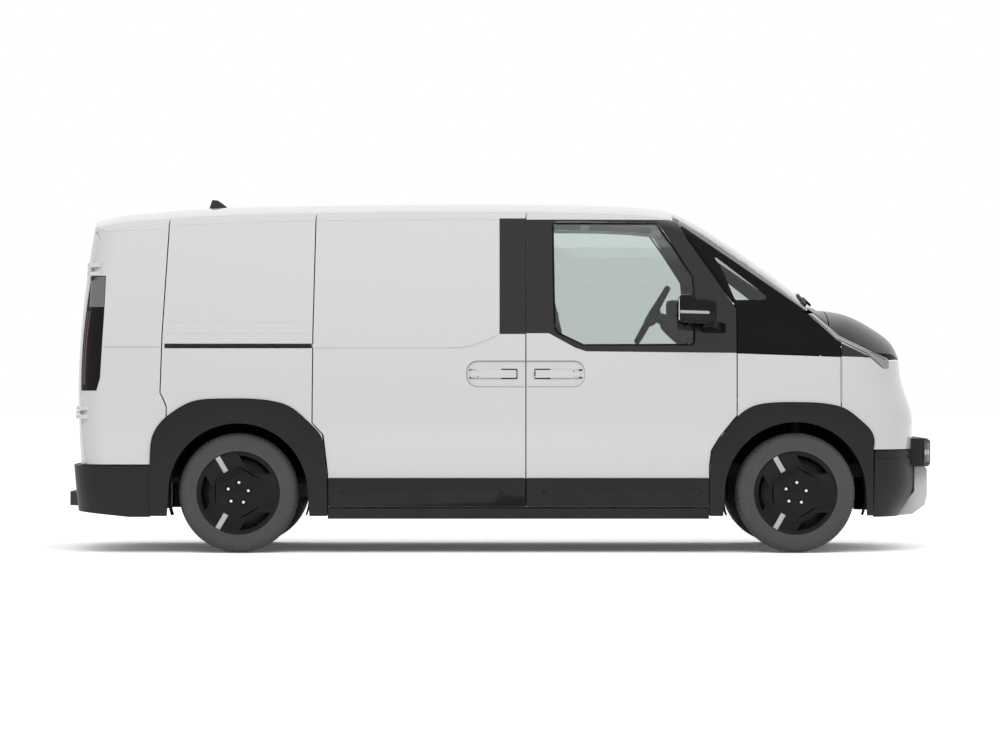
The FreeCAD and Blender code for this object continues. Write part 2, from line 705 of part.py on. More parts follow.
def fender_belt(shift):
    return right_side([(1200, 1077 + shift), (2096, 1046 + shift), (2200, 1400), (1200, 1400)])


def fender(shell):
    """White front wing, up to the belt line."""
    return shell.cut(fender_belt(-H)).cut(arch_cutter(FRONT_AXLE_X, FRONT_ARCH_R))


def fender_cover(shell):
    """Gloss black panel above the wing."""
    return shell.common(fender_belt(H))


def front_panel():
    region = plate_xz([(FASCIA_SEAM_X + H, 200), (FASCIA_SEAM_X + H, 1133), (1976, 1061.6), (2067.2, 988.6),
                       (2098.4, 991.6), (2098.4, BONNET_EDGE_Z - H), (2300, BONNET_EDGE_Z - H), (2300, 200)],
                       -1000, 1000)
    above = box(FASCIA_SEAM_X, 2400, -1000, 1000, BUMPER_TOP_Z + H, 1200)
    shell = skin(0.0, SHEET).common(region).common(above)
    return shell.cut(arch_cutter(FRONT_AXLE_X, FRONT_ARCH_R)).cut(mirrored(arch_cutter(FRONT_AXLE_X,
                                                                                       FRONT_ARCH_R)))


def front_bumper():
    region = plate_xz([(2014, 190), (2016, 540), (2020, BUMPER_TOP_Z - H), (2400, BUMPER_TOP_Z - H),
                       (2400, 190)],
                      -1000, 1000)
    shell = skin(-PLINTH, SIDE_WALL).common(region)
    lower = skin(-CLAD, -PLINTH + 1.0).common(region).common(box(1900, 2400, -1000, 1000, 190, LEDGE_Z))
    shell = shell.fuse(lower)
    guard = plate_xy([(2200, -560), (2300, -560, 40), (GUARD_FRONT_X, -470, 60), (GUARD_FRONT_X, 470, 60),
                      (2300, 560, 40), (2200, 560)], GUARD_LOW_Z, GUARD_TOP_Z)
    guard = guard.common(plate_xz([(2190, GUARD_LOW_Z), (GUARD_FRONT_X - 15, GUARD_LOW_Z),
                                   (GUARD_FRONT_X, 476),
                                   (GUARD_FRONT_X, 596), (GUARD_FRONT_X - 22, GUARD_TOP_Z),
                                   (2190, GUARD_TOP_Z)], -600, 600))
    bumper = shell.cut(box(2100, 2400, -470, 470, 150, GUARD_LOW_Z - 2)).fuse(guard.cut(master(-SEAT_GAP)))
    return bumper.cut(rod((GUARD_FRONT_X - 60, TOW_EYE_Y, TOW_EYE_Z),
                          (GUARD_FRONT_X + 1, TOW_EYE_Y, TOW_EYE_Z), TOW_EYE_R))


def skid_plate():
    profile = [(2164, 189), (2250, 196), (2318, 246), (2331, 300), (2331, 440),
               (2318, GUARD_LOW_Z - SEAT_GAP), (2262, GUARD_LOW_Z - SEAT_GAP),
               (2262, 320), (2164, 212)]
    return plate_xz(profile, -440, 440, 8.0)


def rear_bumper():
    outer = tub(-PLINTH, REAR_BUMPER_OUT)
    inner = tub(SIDE_WALL)
    region = plate_xz([(-2400, 247), (-2300, 225), (-2000, 193), (-1886, 193), (-1886, REAR_BUMPER_TOP_Z - H),
                       (-2400, REAR_BUMPER_TOP_Z - H)], -1000, 1000)
    shell = outer.cut(inner).common(region)
    step = plate_xy([(-2300, -560), (GUARD_FRONT_X * -1, -500, 20), (GUARD_FRONT_X * -1, 500, 20),
                     (-2300, 560)], 246, 322)
    return shell.fuse(step.cut(inner))


def arch_trim(top, low_z, axle_x, arch_r):
    """Trim round one wheel opening: a smooth outer line over the arch, straight down at both ends."""
    curve = Part.BSplineCurve()
    curve.interpolate([V(x, 0, z) for x, z in top])
    first = V(top[0][0], 0, low_z)
    last = V(top[-1][0], 0, low_z)
    outline = Part.Wire([curve.toShape(), Part.makeLine(curve.EndPoint, last), Part.makeLine(last, first),
                         Part.makeLine(first, curve.StartPoint)])
    region = Part.Face(outline).extrude(V(0, -1100, 0))
    return skin(-CLAD, -SEAT_GAP).common(region).cut(arch_cutter(axle_x, arch_r - 4.0))


def arch_trims():
    return [arch_trim(REAR_TRIM_TOP, 198, REAR_AXLE_X, REAR_ARCH_R),
            arch_trim(FRONT_TRIM_TOP, 198, FRONT_AXLE_X, FRONT_ARCH_R)]


def sill():
    region = right_side([(-929, SILL_LOW_Z), (1120, SILL_LOW_Z), (1120, DOOR_LOW_Z - SEAM),
                         (-929, DOOR_LOW_Z - SEAM)])
    piece = skin(-PLINTH, SIDE_WALL).common(region)
    return piece.cut(arch_cutter(FRONT_AXLE_X, FRONT_ARCH_R + 8)).cut(arch_cutter(REAR_AXLE_X,
                                                                                  REAR_ARCH_R + 8))


def wheelhouse(axle_x, radius, inner_y, outer_y, low):
    """Liner over one wheel: a half round shell with its inner wall."""
    outer = Part.makeCylinder(radius + LINER, outer_y - inner_y + LINER, V(axle_x, -inner_y + LINER, AXLE_Z),
                              V(0, -1, 0))
    hollow = Part.makeCylinder(radius, outer_y - inner_y + 10, V(axle_x, -inner_y, AXLE_Z), V(0, -1, 0))
    shell = outer.cut(hollow)
    ring = shell.common(box(axle_x - 500, axle_x + 500, -1000, -LINER_SKIRT_Y, LINER_SKIRT_Z, low))
    return shell.common(box(axle_x - 500, axle_x + 500, -1000, 0, low, 1000)).fuse(ring)


def floor_platform():
    top = FLOOR_TOP_Z
    low = FLOOR_TOP_Z - FLOOR_THICK
    room = master(SIDE_WALL + SEAT_GAP)
    deck = box(-2400, 1180, -FLOOR_HALF, FLOOR_HALF, low, top).common(room)
    for x, r, inner in ((REAR_AXLE_X, REAR_ARCH_R, REAR_LINER_Y),
                        (FRONT_AXLE_X, FRONT_ARCH_R, FRONT_LINER_Y)):
        reach = r + 1 + LINER + SEAT_GAP
        start = inner - LINER - SEAT_GAP
        for sign in (-1, 1):
            deck = deck.cut(Part.makeCylinder(reach, 500, V(x, sign * start, AXLE_Z), V(0, sign, 0)))
            y0, y1 = sorted((sign * start, sign * 1000))
            deck = deck.cut(box(x - reach, x + reach, y0, y1, 0, AXLE_Z))
    parts = [deck]
    for sign in (-1, 1):
        y0, y1 = sorted((sign * 770, sign * 840))
        parts.append(box(-1000, 1160, y0, y1, 200, low))
        y0, y1 = sorted((sign * 770, sign * 950))
        parts.append(box(-925, 1115, y0, y1, 200, DOOR_LOW_Z - 2 * SEAM).common(room))
        y0, y1 = sorted((sign * 400, sign * 470))
        parts.append(box(-2225, -900, y0, y1, RAIL_LOW_Z, low))
        y0, y1 = sorted((sign * 600, sign * 655))
        parts.append(box(-925, -880 - SEAT_GAP, y0, y1, 370 + SEAT_GAP, low))
        y0, y1 = sorted((sign * 400, sign * 470))
        parts.append(box(1100, 2190, y0, y1, 400, 470).common(room))
    parts.append(box(2120, 2400, -560, 560, 400, 520).common(room))
    toe = plate_xz([(1140, 400), (1180, 400), (1480, 560), (1480, 1240), (1445, 1240), (1445, 580),
                    (1160, 440),
                    (1140, 440)], LINER - FRONT_LINER_Y + SEAT_GAP, FRONT_LINER_Y - LINER - SEAT_GAP)
    parts.append(toe)
    body = parts[0]
    for p in parts[1:]:
        body = body.fuse(p)
    for x in (-LOAD_POINT_X / 2.0, LOAD_POINT_X / 2.0):
        for y in (-LOAD_POINT_Y / 2.0, LOAD_POINT_Y / 2.0):
            body = body.cut(rod((LOAD_POINT_MID_X + x, y, low - 1), (LOAD_POINT_MID_X + x, y, top + 1),
                                LOAD_POINT_R))
    return body


def wheel_liners():
    rear = wheelhouse(REAR_AXLE_X, REAR_ARCH_R + 1, REAR_LINER_Y, 905.0, REAR_LINER_LOW_Z)
    front = wheelhouse(FRONT_AXLE_X, FRONT_ARCH_R + 1, FRONT_LINER_Y, 905.0, FRONT_LINER_LOW_Z)
    return [rear.common(master(SIDE_WALL + SEAT_GAP)), front.common(master(SHEET + SEAT_GAP))]


def tyre(side):
    """Tyre standing on the ground, centred on the origin with its outer face toward side."""
    h = TYRE_WIDTH / 2.0
    profile = [(RIM_R, -h + 14), (RIM_R + 30, -h + 4), (RIM_R + 70, -h), (WHEEL_R - 26, -h + 5),
               (WHEEL_R - 5, -h + 24),
               (WHEEL_R, -h + 50), (WHEEL_R, h - 50), (WHEEL_R - 5, h - 24), (WHEEL_R - 26, h - 5),
               (RIM_R + 70, h), (RIM_R + 30, h - 4), (RIM_R, h - 14),
               (RIM_R, h - 26), (RIM_R + 60, h - 14), (WHEEL_R - 18, h - 30), (WHEEL_R - 14, 0),
               (WHEEL_R - 18, -h + 30), (RIM_R + 60, -h + 14), (RIM_R, -h + 26)]
    wire = Part.makePolygon([V(0, a, r) for r, a in profile + profile[:1]])
    return Part.Face(wire).revolve(V(0, 0, 0), V(0, 1, 0), 360)


def revolve_y(profile):
    """Solid of revolution about Y from (radius, y) points."""
    wire = Part.makePolygon([V(0, a, r) for r, a in profile + profile[:1]])
    return Part.Face(wire).revolve(V(0, 0, 0), V(0, 1, 0), 360)


def road_wheel():
    """Steel wheel with its cover, outer side toward -Y, centred on the origin."""
    h = TYRE_WIDTH / 2.0
    e = RIM_R
    rim = revolve_y([(e + 12, -h + 6), (e + 12, -h + 10), (e, -h + 14), (e, -h + 30), (e - 14, -h + 40),
                     (e - 14, h - 40),
                     (e, h - 30), (e, h - 14), (e + 12, h - 10), (e + 12, h - 6), (e - 2, h - 9),
                     (e - 6, h - 30),
                     (e - 20, h - 44), (e - 20, -h + 44), (e - 6, -h + 30), (e - 2, -h + 9)])
    bore = STUB_R + BORE_CLEARANCE
    disc = revolve_y([(bore, -72), (60, -72), (90, -60), (150, -52), (e - 16, -40), (e - 16, -34), (150, -45),
                      (88, -52), (70, -40), (70, -34), (bore, -34)])
    brake = revolve_y([(bore, -36), (70, -36), (70, -30), (158, -30), (158, -8), (70, -8), (60, -14),
                       (bore, -14)])
    wheel = rim.fuse(disc).fuse(brake)
    return wheel.fuse(wheel_cover())


def hexagon(near, near_half, y):
    """Six-sided outline with a side at distance near and half width near_half across each spoke."""
    points = []
    for angle in (0, 120, 240):
        for side in (-near_half, near_half):
            a = math.radians(angle)
            points.append(V(near * math.cos(a) - side * math.sin(a), y,
                            near * math.sin(a) + side * math.cos(a)))
    return Part.makePolygon(points + points[:1])


def wheel_cover():
    """Black cover: three straight-sided spokes, three openings, and a raised hub with sloped sides."""
    face = -TYRE_WIDTH / 2.0
    dish = revolve_y([(0, face + 10), (150, face + 9), (COVER_R, face + 2), (COVER_R, face + 6),
                      (RIM_R + 12, face + 6 - SEAT_GAP), (RIM_R - 2, face + 9 - SEAT_GAP),
                      (RIM_R - 8, face + 17),
                      (150, face + 17), (60, face + 17), (60, -68), (32, -68),
                      (32, face + 17), (0, face + 17)])
    apex = SPOKE_HALF / math.sin(math.radians(60.0))
    for angle in (60, 180, 300):
        disc = Part.makeCylinder(OPENING_R, 60, V(0, face + 40, 0), V(0, -1, 0))
        wedge = plate_xz([(apex, 0), (apex + 200, 346.4), (apex + 200, -346.4)], face - 20, face + 40, 8)
        hole = disc.common(wedge)
        hole.rotate(V(0, 0, 0), V(0, 1, 0), -angle)
        dish = dish.cut(hole)
    hub = Part.makeLoft([hexagon(129, 72.5, face + 10.5), hexagon(87, 86.5, face - 5)], True, True)
    return dish.fuse(hub)


def placed(shape, x, side, y=WHEEL_Y):
    piece = shape if side < 0 else mirrored(shape)
    piece = piece.copy()
    piece.translate(V(x, side * y, AXLE_Z))
    return piece


def knuckle():
    """Right steering knuckle with its stub axle and calliper."""
    x = FRONT_AXLE_X
    post = rod((x, -KINGPIN_Y, BALL_LOW_Z + SEAT_GAP), (x, -KINGPIN_Y, BALL_HIGH_Z - SEAT_GAP), 16)
    stub = rod((x, -KINGPIN_Y + 10, AXLE_Z), (x, -WHEEL_Y - 66, AXLE_Z), STUB_R)
    arm = box(x - 140, x, -KINGPIN_Y + 2, -KINGPIN_Y + 18, AXLE_Z - 60, AXLE_Z - 40)
    caliper = box(x + 100, x + 168, -840, -785, 285, 360).cut(
        Part.makeCylinder(163, 40, V(x, -808, AXLE_Z), V(0, -1, 0)))
    bracket = box(x, x + 110, -790, -770, 300, 350)
    return post.fuse(stub).fuse(arm).fuse(bracket).fuse(caliper)


def front_suspension():
    x = FRONT_AXLE_X
    parts = []
    cross = box(x - 220, x - 120, -470, 470, 200, 290).fuse(box(x + 60, x + 140, -470, 470, 200, 270))
    for sign in (-1, 1):
        y0, y1 = sorted((sign * 400, sign * 470))
        cross = cross.fuse(box(x - 220, x + 140, y0, y1, 200, FLOOR_TOP_Z - FLOOR_THICK - SEAT_GAP))
    parts.append(cross)
    for sign in (-1, 1):
        ball = sign * KINGPIN_Y
        low = plate_xy([(x - 170, sign * 440), (x + 100, sign * 440), (x + 22, ball + sign * 12),
                        (x - 22, ball + sign * 12)],
                       BALL_LOW_Z - 24, BALL_LOW_Z, 10)
        low = low.cut(box(x - 60, x + 30, min(sign * 470, sign * 640), max(sign * 470, sign * 640), 100, 300))
        high = plate_xy([(x - 90, sign * 470.3), (x + 70, sign * 470.3), (x + 18, ball + sign * 10),
                         (x - 18, ball + sign * 10)],
                        BALL_HIGH_Z, BALL_HIGH_Z + 18, 8)
        damper = rod((x + 20, sign * 560, 204), (x + 20, sign * 545, 704), 24)
        spring = tube((x + 20, sign * 552, 420), (x + 20, sign * 546, 640), 44, 36)
        shaft = rod((x, sign * (MOTOR_HALF + SEAT_GAP), AXLE_Z), (x, sign * 735, AXLE_Z), 15)
        parts.extend([low, high, damper, spring])
        parts.append(shaft)
    return parts


def motor_block():
    x = FRONT_AXLE_X
    return box(x - 100, x + 190, -MOTOR_HALF, MOTOR_HALF, 300, 640)


def rear_axle():
    x = REAR_AXLE_X
    beam = rod((x + 120, -640, AXLE_Z - 40), (x + 120, 640, AXLE_Z - 40), 40)
    parts = [beam]
    for sign in (-1, 1):
        arm = plate_xz([(x + 520, 300), (x + 520, 370), (x - 60, 360), (x - 60, 285)],
                       min(sign * 600, sign * 655),
                       max(sign * 600, sign * 655), 20)
        stub = rod((x, sign * 640, AXLE_Z), (x, sign * (WHEEL_Y + 66), AXLE_Z), STUB_R)
        spring = tube((x + 120, sign * 435, AXLE_Z - 30), (x + 120, sign * 435, RAIL_LOW_Z - SEAT_GAP), 46,
                      36)
        parts.extend([arm, stub, spring])
    body = parts[0]
    for p in parts[1:]:
        body = body.fuse(p)
    return body


def battery():
    return plate_xy([(-880, -700), (1080, -700), (1080, 700), (-880, 700)], 215,
                    FLOOR_TOP_Z - FLOOR_THICK - SEAT_GAP, 30)


def bulkhead():
    """Partition behind the seats with a window opening."""
    blank = box(BULKHEAD_X - 12, BULKHEAD_X + 12, -1000, 1000, FLOOR_TOP_Z + 0.3, 1900)
    wall = blank.common(master(SIDE_WALL + TRIM_MARGIN))
    window = plate_yz([(-420, 1180), (420, 1180), (420, 1560), (-420, 1560)], BULKHEAD_X - 50,
                      BULKHEAD_X + 50, 50)
    return wall.cut(window)


def dashboard():
    profile = [(1030, 980), (1060, 1120), (1120, 1180), (1260, 1205), (1445 - SEAT_GAP, 1235),
               (1445 - SEAT_GAP, 900), (1300, 860), (1120, 880)]
    blank = plate_xz(profile, -1000, 1000, 40)
    board = blank.common(master(SIDE_WALL + TRIM_MARGIN))
    board = board.cut(right_side([(1180, 200), (1180, 800), (1600, 800), (1600, 200)]))
    start = HUB_DEPTH + SEAT_GAP
    column = rod([c + d * start for c, d in zip(STEER_CENTRE, STEER_DIR)],
                 [c + d * 340.0 for c, d in zip(STEER_CENTRE, STEER_DIR)], 26)
    binnacle = plate_xz([(1075, 1150), (1100, 1260), (1230, 1280), (1260, 1180)], 260, 540, 20)
    return board.fuse(column).fuse(binnacle)



def steering_wheel():
    ring = Part.makeTorus(172, 14, V(0, 0, 0), V(0, 0, 1))
    hub = Part.makeCylinder(48, HUB_DEPTH + 8, V(0, 0, -8))
    bar = box(-172, 172, -16, 16, -4, 10).cut(Part.makeCylinder(400, 100, V(0, 0, -50)).cut(
        Part.makeCylinder(172, 100, V(0, 0, -50))))
    low = box(-15, 15, -172, 0, -4, 10)
    wheel = ring.fuse(hub).fuse(bar).fuse(low)
    x = V(0, 1, 0)
    z = V(*STEER_DIR)
    y = z.cross(x)
    m = FreeCAD.Matrix(x.x, y.x, z.x, STEER_CENTRE[0], x.y, y.y, z.y, STEER_CENTRE[1],
                       x.z, y.z, z.z, STEER_CENTRE[2], 0, 0, 0, 1)
    wheel.transformShape(m)
    return wheel


def seat_base(y):
    low = FLOOR_TOP_Z + SEAT_GAP
    return plate_xz([(330, low), (760, low), (770, SEAT_TOP_Z), (310, SEAT_TOP_Z)], y - 210, y + 210, 30)


def seat_cushion(y):
    low = SEAT_TOP_Z + SEAT_GAP
    return plate_xz([(400, low), (410, 800), (800, 835), (850, 790), (830, low)], y - 235, y + 235, 35)


def seat_back(y):
    low = SEAT_TOP_Z + SEAT_GAP
    back = plate_xz([(325, low), (395, low), (400, 820), (285, 1390), (225, 1420), (165, 1390), (290, 820)],
                    y - 225, y + 225, 30)
    head = plate_xz([(150, 1440), (130, 1610), (205, 1630), (240, 1590), (240, 1450)], y - 130, y + 130, 30)
    posts = [rod((215, y + s * 60, 1380), (195, y + s * 60, 1480), 7) for s in (-1, 1)]
    return back.fuse(head).fuse(posts[0]).fuse(posts[1])


def antenna():
    return plate_xz([(-1622, 1866), (-1500, 1872), (-1540, 1905), (-1570, 1925), (-1600, 1928)], -18, 18,
                    6).cut(
        master(0.0))


NODES = {}


def add(name, shape):
    NODES[name] = shape


def build():
    add("floor_platform", floor_platform())
    liners = wheel_liners()
    add("wheel_liners", Part.makeCompound(liners + [mirrored(s) for s in liners]))
    add("battery_pack", battery())
    add("roof_panel", roof_panel())
    add("body_frame", body_frame())
    add("quarter_panels", both(quarter_panel()))
    add("rear_corner_panels", both(rear_corner_panel()))
    shell = skin(0.0, SIDE_WALL).common(right_side(SLIDING_DOOR)).cut(roof_region(H))
    add("sliding_doors", both(sliding_door(shell)))
    add("sliding_door_bands", both(sliding_door_band(shell)))
    add("sliding_door_trims", both(sliding_door_trim()))
    add("door_rails", both(door_rail()))
    wing = skin(0.0, SHEET).common(right_side(FENDER))
    seats = hinge_seat(STRAP_LEVELS[0]).fuse(hinge_seat(STRAP_LEVELS[1]))
    add("front_fenders", both(fender(wing).fuse(seats)))
    add("front_panel", front_panel())
    covers = [pillar_cover(), fender_cover(wing)]
    add("pillar_covers", Part.makeCompound(covers + [mirrored(c) for c in covers]))
    add("pillar_strips", both(pillar_strip()))
    quarter_pane = pane(QUARTER_GLASS, 14.0)
    add("fixed_glass", Part.makeCompound([windscreen(), quarter_pane, mirrored(quarter_pane)]))
    add("cowl", cowl())
    add("front_bumper", front_bumper())
    add("skid_plate", skid_plate())
    add("rear_bumper", rear_bumper())
    trims = arch_trims()
    add("wheel_arch_trims", Part.makeCompound(trims + [mirrored(t) for t in trims]))
    add("sill_trims", both(sill()))
    add("light_strips", both(light_strip()))
    add("tail_lamps", both(tail_lamp()))
    add("rear_hinges", both(rear_hinge_fixed()))
    add("bulkhead", bulkhead())
    add("dashboard", dashboard())
    add("seat_bases", Part.makeCompound([seat_base(400), seat_base(-400)]))
    add("seat_cushions", Part.makeCompound([seat_cushion(400), seat_cushion(-400)]))
    add("seat_backs", Part.makeCompound([seat_back(400), seat_back(-400)]))
    add("roof_antenna", antenna())
    add("front_suspension", Part.makeCompound(front_suspension()))
    add("drive_motor", motor_block())
    add("rear_axle", rear_axle())
    shell = skin(0.0, SIDE_WALL).common(right_side(FRONT_DOOR)).cut(roof_region(H))
    shell = shell.cut(box(HEADER_X - 30, 1300, -(ROOF_SEAM_Y + H), 0, 1500, TOP))
    shell = shell.common(Part.makeCylinder(DOOR_SWING_R, TOP, V(HINGE_X, -HINGE_Y, 0)))
    panel = front_door_panel(shell)
    frame = front_door_frame(shell)
    door_pane = pane(FRONT_GLASS, 30.0)
    trim = front_door_trim()
    mirror = mirror_unit()
    for side, name in ((-1, "right"), (1, "left")):
        turn = (lambda s: s) if side < 0 else mirrored
        add("front_door_" + name, turn(panel))
        add("front_door_frame_" + name, turn(frame))
        add("door_mirror_" + name, turn(mirror))
        add("front_door_glass_" + name, turn(door_pane))
        add("front_door_trim_" + name, turn(trim))
        add("rear_door_" + name, turn(rear_door_panel()))
        add("knuckle_" + name, turn(knuckle()))
    add("bonnet", bonnet())
    wheel = road_wheel()
    rubber = tyre(-1)
    for end, x in (("front", FRONT_AXLE_X), ("rear", REAR_AXLE_X)):
        for side, name in ((-1, "right"), (1, "left")):
            add("tyre_%s_%s" % (end, name), placed(rubber, x, side))
            add("wheel_%s_%s" % (end, name), placed(wheel, x, side))
    add("steering_wheel", steering_wheel())
    os.makedirs("parts", exist_ok=True)
    for name, shape in NODES.items():
        print(name, len(shape.Solids), shape.isValid(), round(shape.Volume / 1e6, 2))
        shape.exportStep("parts/%s.step" % name)


build()
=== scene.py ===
import json
import math
import bmesh
import bpy
from mathutils import Matrix, Vector
from mathutils.bvhtree import BVHTree


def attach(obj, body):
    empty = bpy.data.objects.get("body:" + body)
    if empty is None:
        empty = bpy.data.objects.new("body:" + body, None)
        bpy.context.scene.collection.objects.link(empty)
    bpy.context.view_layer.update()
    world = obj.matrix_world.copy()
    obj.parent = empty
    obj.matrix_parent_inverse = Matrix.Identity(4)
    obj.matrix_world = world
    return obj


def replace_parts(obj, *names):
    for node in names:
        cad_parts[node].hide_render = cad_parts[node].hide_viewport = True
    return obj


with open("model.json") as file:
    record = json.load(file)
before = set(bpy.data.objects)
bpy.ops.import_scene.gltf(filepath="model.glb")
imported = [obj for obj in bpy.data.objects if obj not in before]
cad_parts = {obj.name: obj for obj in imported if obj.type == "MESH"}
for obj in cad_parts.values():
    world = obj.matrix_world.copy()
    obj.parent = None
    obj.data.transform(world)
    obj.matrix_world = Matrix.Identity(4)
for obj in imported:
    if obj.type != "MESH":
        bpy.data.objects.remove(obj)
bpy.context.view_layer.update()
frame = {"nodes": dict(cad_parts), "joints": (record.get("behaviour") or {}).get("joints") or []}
nodes = frame["nodes"]


# The view. A long lens looks straight at the right side of the van, from the height of its door handles.
def in_scene(name, data):
    """A new object in the scene."""
    thing = bpy.data.objects.new(name, data)
    bpy.context.scene.collection.objects.link(thing)
    return thing


eye_distance = 27.5
eye_height = 0.956
eye_along = -0.003
camera = in_scene("camera", bpy.data.cameras.new("camera"))
camera.location = (eye_along, -eye_distance, eye_height)
camera.rotation_euler = (math.radians(90.0), 0.0, 0.0)
camera.data.lens = 178.2
camera.data.sensor_width = 36.0
camera.data.clip_start = 0.5
camera.data.clip_end = 400.0
bpy.context.scene.camera = camera
bpy.context.scene.view_settings.view_transform = 'Standard'


# The studio. A white room lights the van evenly, a little more from the sides than from overhead, and one
# wide soft box on the near side gives the soft shadow under the sills and tyres and beyond the van.
def feed(tree, node, sources):
    """Links outputs to a node's inputs."""
    for socket, source in sources.items():
        tree.links.new(source, node.inputs[socket])


def shader_node(tree, kind, settings={}, values={}, sources={}):
    """A node with its settings, its input values, and the outputs that feed its inputs."""
    node = tree.nodes.new("ShaderNode" + kind)
    for setting, value in settings.items():
        setattr(node, setting, value)
    for socket, value in values.items():
        node.inputs[socket].default_value = value
    feed(tree, node, sources)
    return node


def new_material(name, values):
    """A material, its node tree and its surface, with the surface's values."""
    material = bpy.data.materials.new(name)
    material.use_nodes = True
    surface = material.node_tree.nodes["Principled BSDF"]
    for socket, value in values.items():
        surface.inputs[socket].default_value = value
    return material, material.node_tree, surface


def opaque(colour):
    return (*colour, 1.0)


def seen_rays(tree):
    """One for rays from the eye, straight or by a mirror or a pane, and zero for rays that only light."""
    path = shader_node(tree, "LightPath")
    total = path.outputs["Is Camera Ray"]
    for kind in ("Is Glossy Ray", "Is Transmission Ray"):
        either = shader_node(tree, "Math", {"operation": 'MAXIMUM'},
                             sources={0: total, 1: path.outputs[kind]})
        total = either.outputs[0]
    return total


def white_room(low, high, below):
    """White to the eye; as light it fades from low at eye level to high overhead, and to below underfoot."""
    world = bpy.data.worlds.new("white_room")
    bpy.context.scene.world = world
    world.use_nodes = True
    tree = world.node_tree
    way = shader_node(tree, "TexCoord")
    split = shader_node(tree, "SeparateXYZ", sources={0: way.outputs["Generated"]})
    half = shader_node(tree, "MapRange", values={"From Min": -1.0}, sources={"Value": split.outputs["Z"]})
    rise = shader_node(tree, "FloatCurve", sources={"Value": half.outputs["Result"]})
    points = rise.mapping.curves[0].points
    points[0].location = (0.0, below)
    points[1].location = (1.0, high)
    for place, level in ((0.49, below), (0.52, low), (0.72, low)):
        points.new(place, level)
    rise.mapping.use_clip = False
    rise.mapping.update()
    seen = shader_node(tree, "Mix", values={"B": 1.0},
                       sources={"A": rise.outputs["Value"], "Factor": seen_rays(tree)})
    background = tree.nodes["Background"]
    background.inputs["Color"].default_value = opaque((1.0, 1.0, 1.0))
    feed(tree, background, {"Strength": seen.outputs["Result"]})


white_room(0.76, 0.36, 0.34)
side_light = bpy.data.lights.new("side_box", 'AREA')
side_light.shape = 'RECTANGLE'
side_light.size = 9.0
side_light.size_y = 4.0
side_light.energy = 370.0
side_box = in_scene("side_box", side_light)
side_box.location = (0.0, -9.0, 6.5)
lit_middle = Vector((0.0, 0.0, 0.8))
side_box.rotation_euler = (lit_middle - Vector(side_box.location)).to_track_quat('-Z', 'Y').to_euler()
side_box.visible_camera = False
side_box.visible_glossy = False

floor_half = 90.0
paper_light = 0.62
paper_seen = 1.85
paper_lift = 0.04
paper, tree, surface = new_material("studio_paper", {"Roughness": 0.9, "Specular IOR Level": 0.0,
                                                     "Emission Color": opaque((1.0, 1.0, 1.0))})
seen = seen_rays(tree)
tone = shader_node(tree, "Mix", {"data_type": 'RGBA'},
                   {"A": opaque([paper_light] * 3), "B": opaque([paper_seen] * 3)}, {"Factor": seen})
lift = shader_node(tree, "Math", {"operation": 'MULTIPLY'}, {1: paper_lift}, {0: seen})
feed(tree, surface, {"Base Color": tone.outputs["Result"], "Emission Strength": lift.outputs[0]})
floor_corners = [(x * floor_half, y * floor_half, 0.0) for x, y in ((-1, -1), (1, -1), (1, 1), (-1, 1))]
floor_mesh = bpy.data.meshes.new("studio_floor")
floor_mesh.from_pydata(floor_corners, [], [(0, 1, 2, 3)])
floor_mesh.materials.append(paper)
studio_floor = in_scene("studio_floor", floor_mesh)
studio_floor.location.z = -0.0015


# White body panels: pressed steel, primed, sprayed solid white and cleared. The clear coat keeps a faint
# orange peel, and a little road dust lies low on the doors.
def new_group(name, inputs, outputs):
    """A node group with named inputs and outputs, its entry outputs, its exit and the object's place."""
    group = bpy.data.node_groups.new(name, 'ShaderNodeTree')
    for label, value in inputs.items():
        group.interface.new_socket(label, in_out='INPUT', socket_type='NodeSocketFloat').default_value = value
    for label, kind in outputs.items():
        group.interface.new_socket(label, in_out='OUTPUT', socket_type='NodeSocket' + kind)
    entry = group.nodes.new("NodeGroupInput").outputs
    leave = group.nodes.new("NodeGroupOutput")
    place = shader_node(group, "TexCoord").outputs["Object"]
    return group, entry, leave, place


def make_skin_texture():
    """Fine unevenness of a sprayed or moulded surface: a mottled value and a bumped normal."""
    group, entry, leave, place = new_group("skin_texture", {"Scale": 400.0, "Strength": 0.1, "Depth": 0.0002},
                                           {"Mottle": "Float", "Normal": "Vector"})
    noise = shader_node(group, "TexNoise", values={"Detail": 3.0},
                        sources={"Vector": place, "Scale": entry["Scale"]})
    bump = shader_node(group, "Bump", sources={
        "Height": noise.outputs["Fac"], "Strength": entry["Strength"], "Distance": entry["Depth"]})
    feed(group, leave, {"Mottle": noise.outputs["Fac"], "Normal": bump.outputs["Normal"]})
    return group


def make_road_dust():
    """Dust that thickens toward the ground and gathers in patches: a mask from 0 to 1."""
    group, entry, leave, place = new_group("road_dust", {"Top": 0.6, "Amount": 0.1}, {"Mask": "Float"})
    split = shader_node(group, "SeparateXYZ", sources={0: place})
    fade = shader_node(group, "MapRange", values={"From Min": 0.1, "To Min": 1.0, "To Max": 0.0},
                       sources={"Value": split.outputs["Z"], "From Max": entry["Top"]})
    patches = shader_node(group, "TexNoise", values={"Scale": 7.0, "Detail": 5.0}, sources={"Vector": place})
    speckle = shader_node(group, "Math", {"operation": 'MULTIPLY'},
                          sources={0: fade.outputs["Result"], 1: patches.outputs["Fac"]})
    level = shader_node(group, "Math", {"operation": 'MULTIPLY'},
                        sources={0: speckle.outputs[0], 1: entry["Amount"]})
    feed(group, leave, {"Mask": level.outputs[0]})
    return group


skin_texture = make_skin_texture()
road_dust = make_road_dust()
dust_colour = (0.36, 0.34, 0.31)


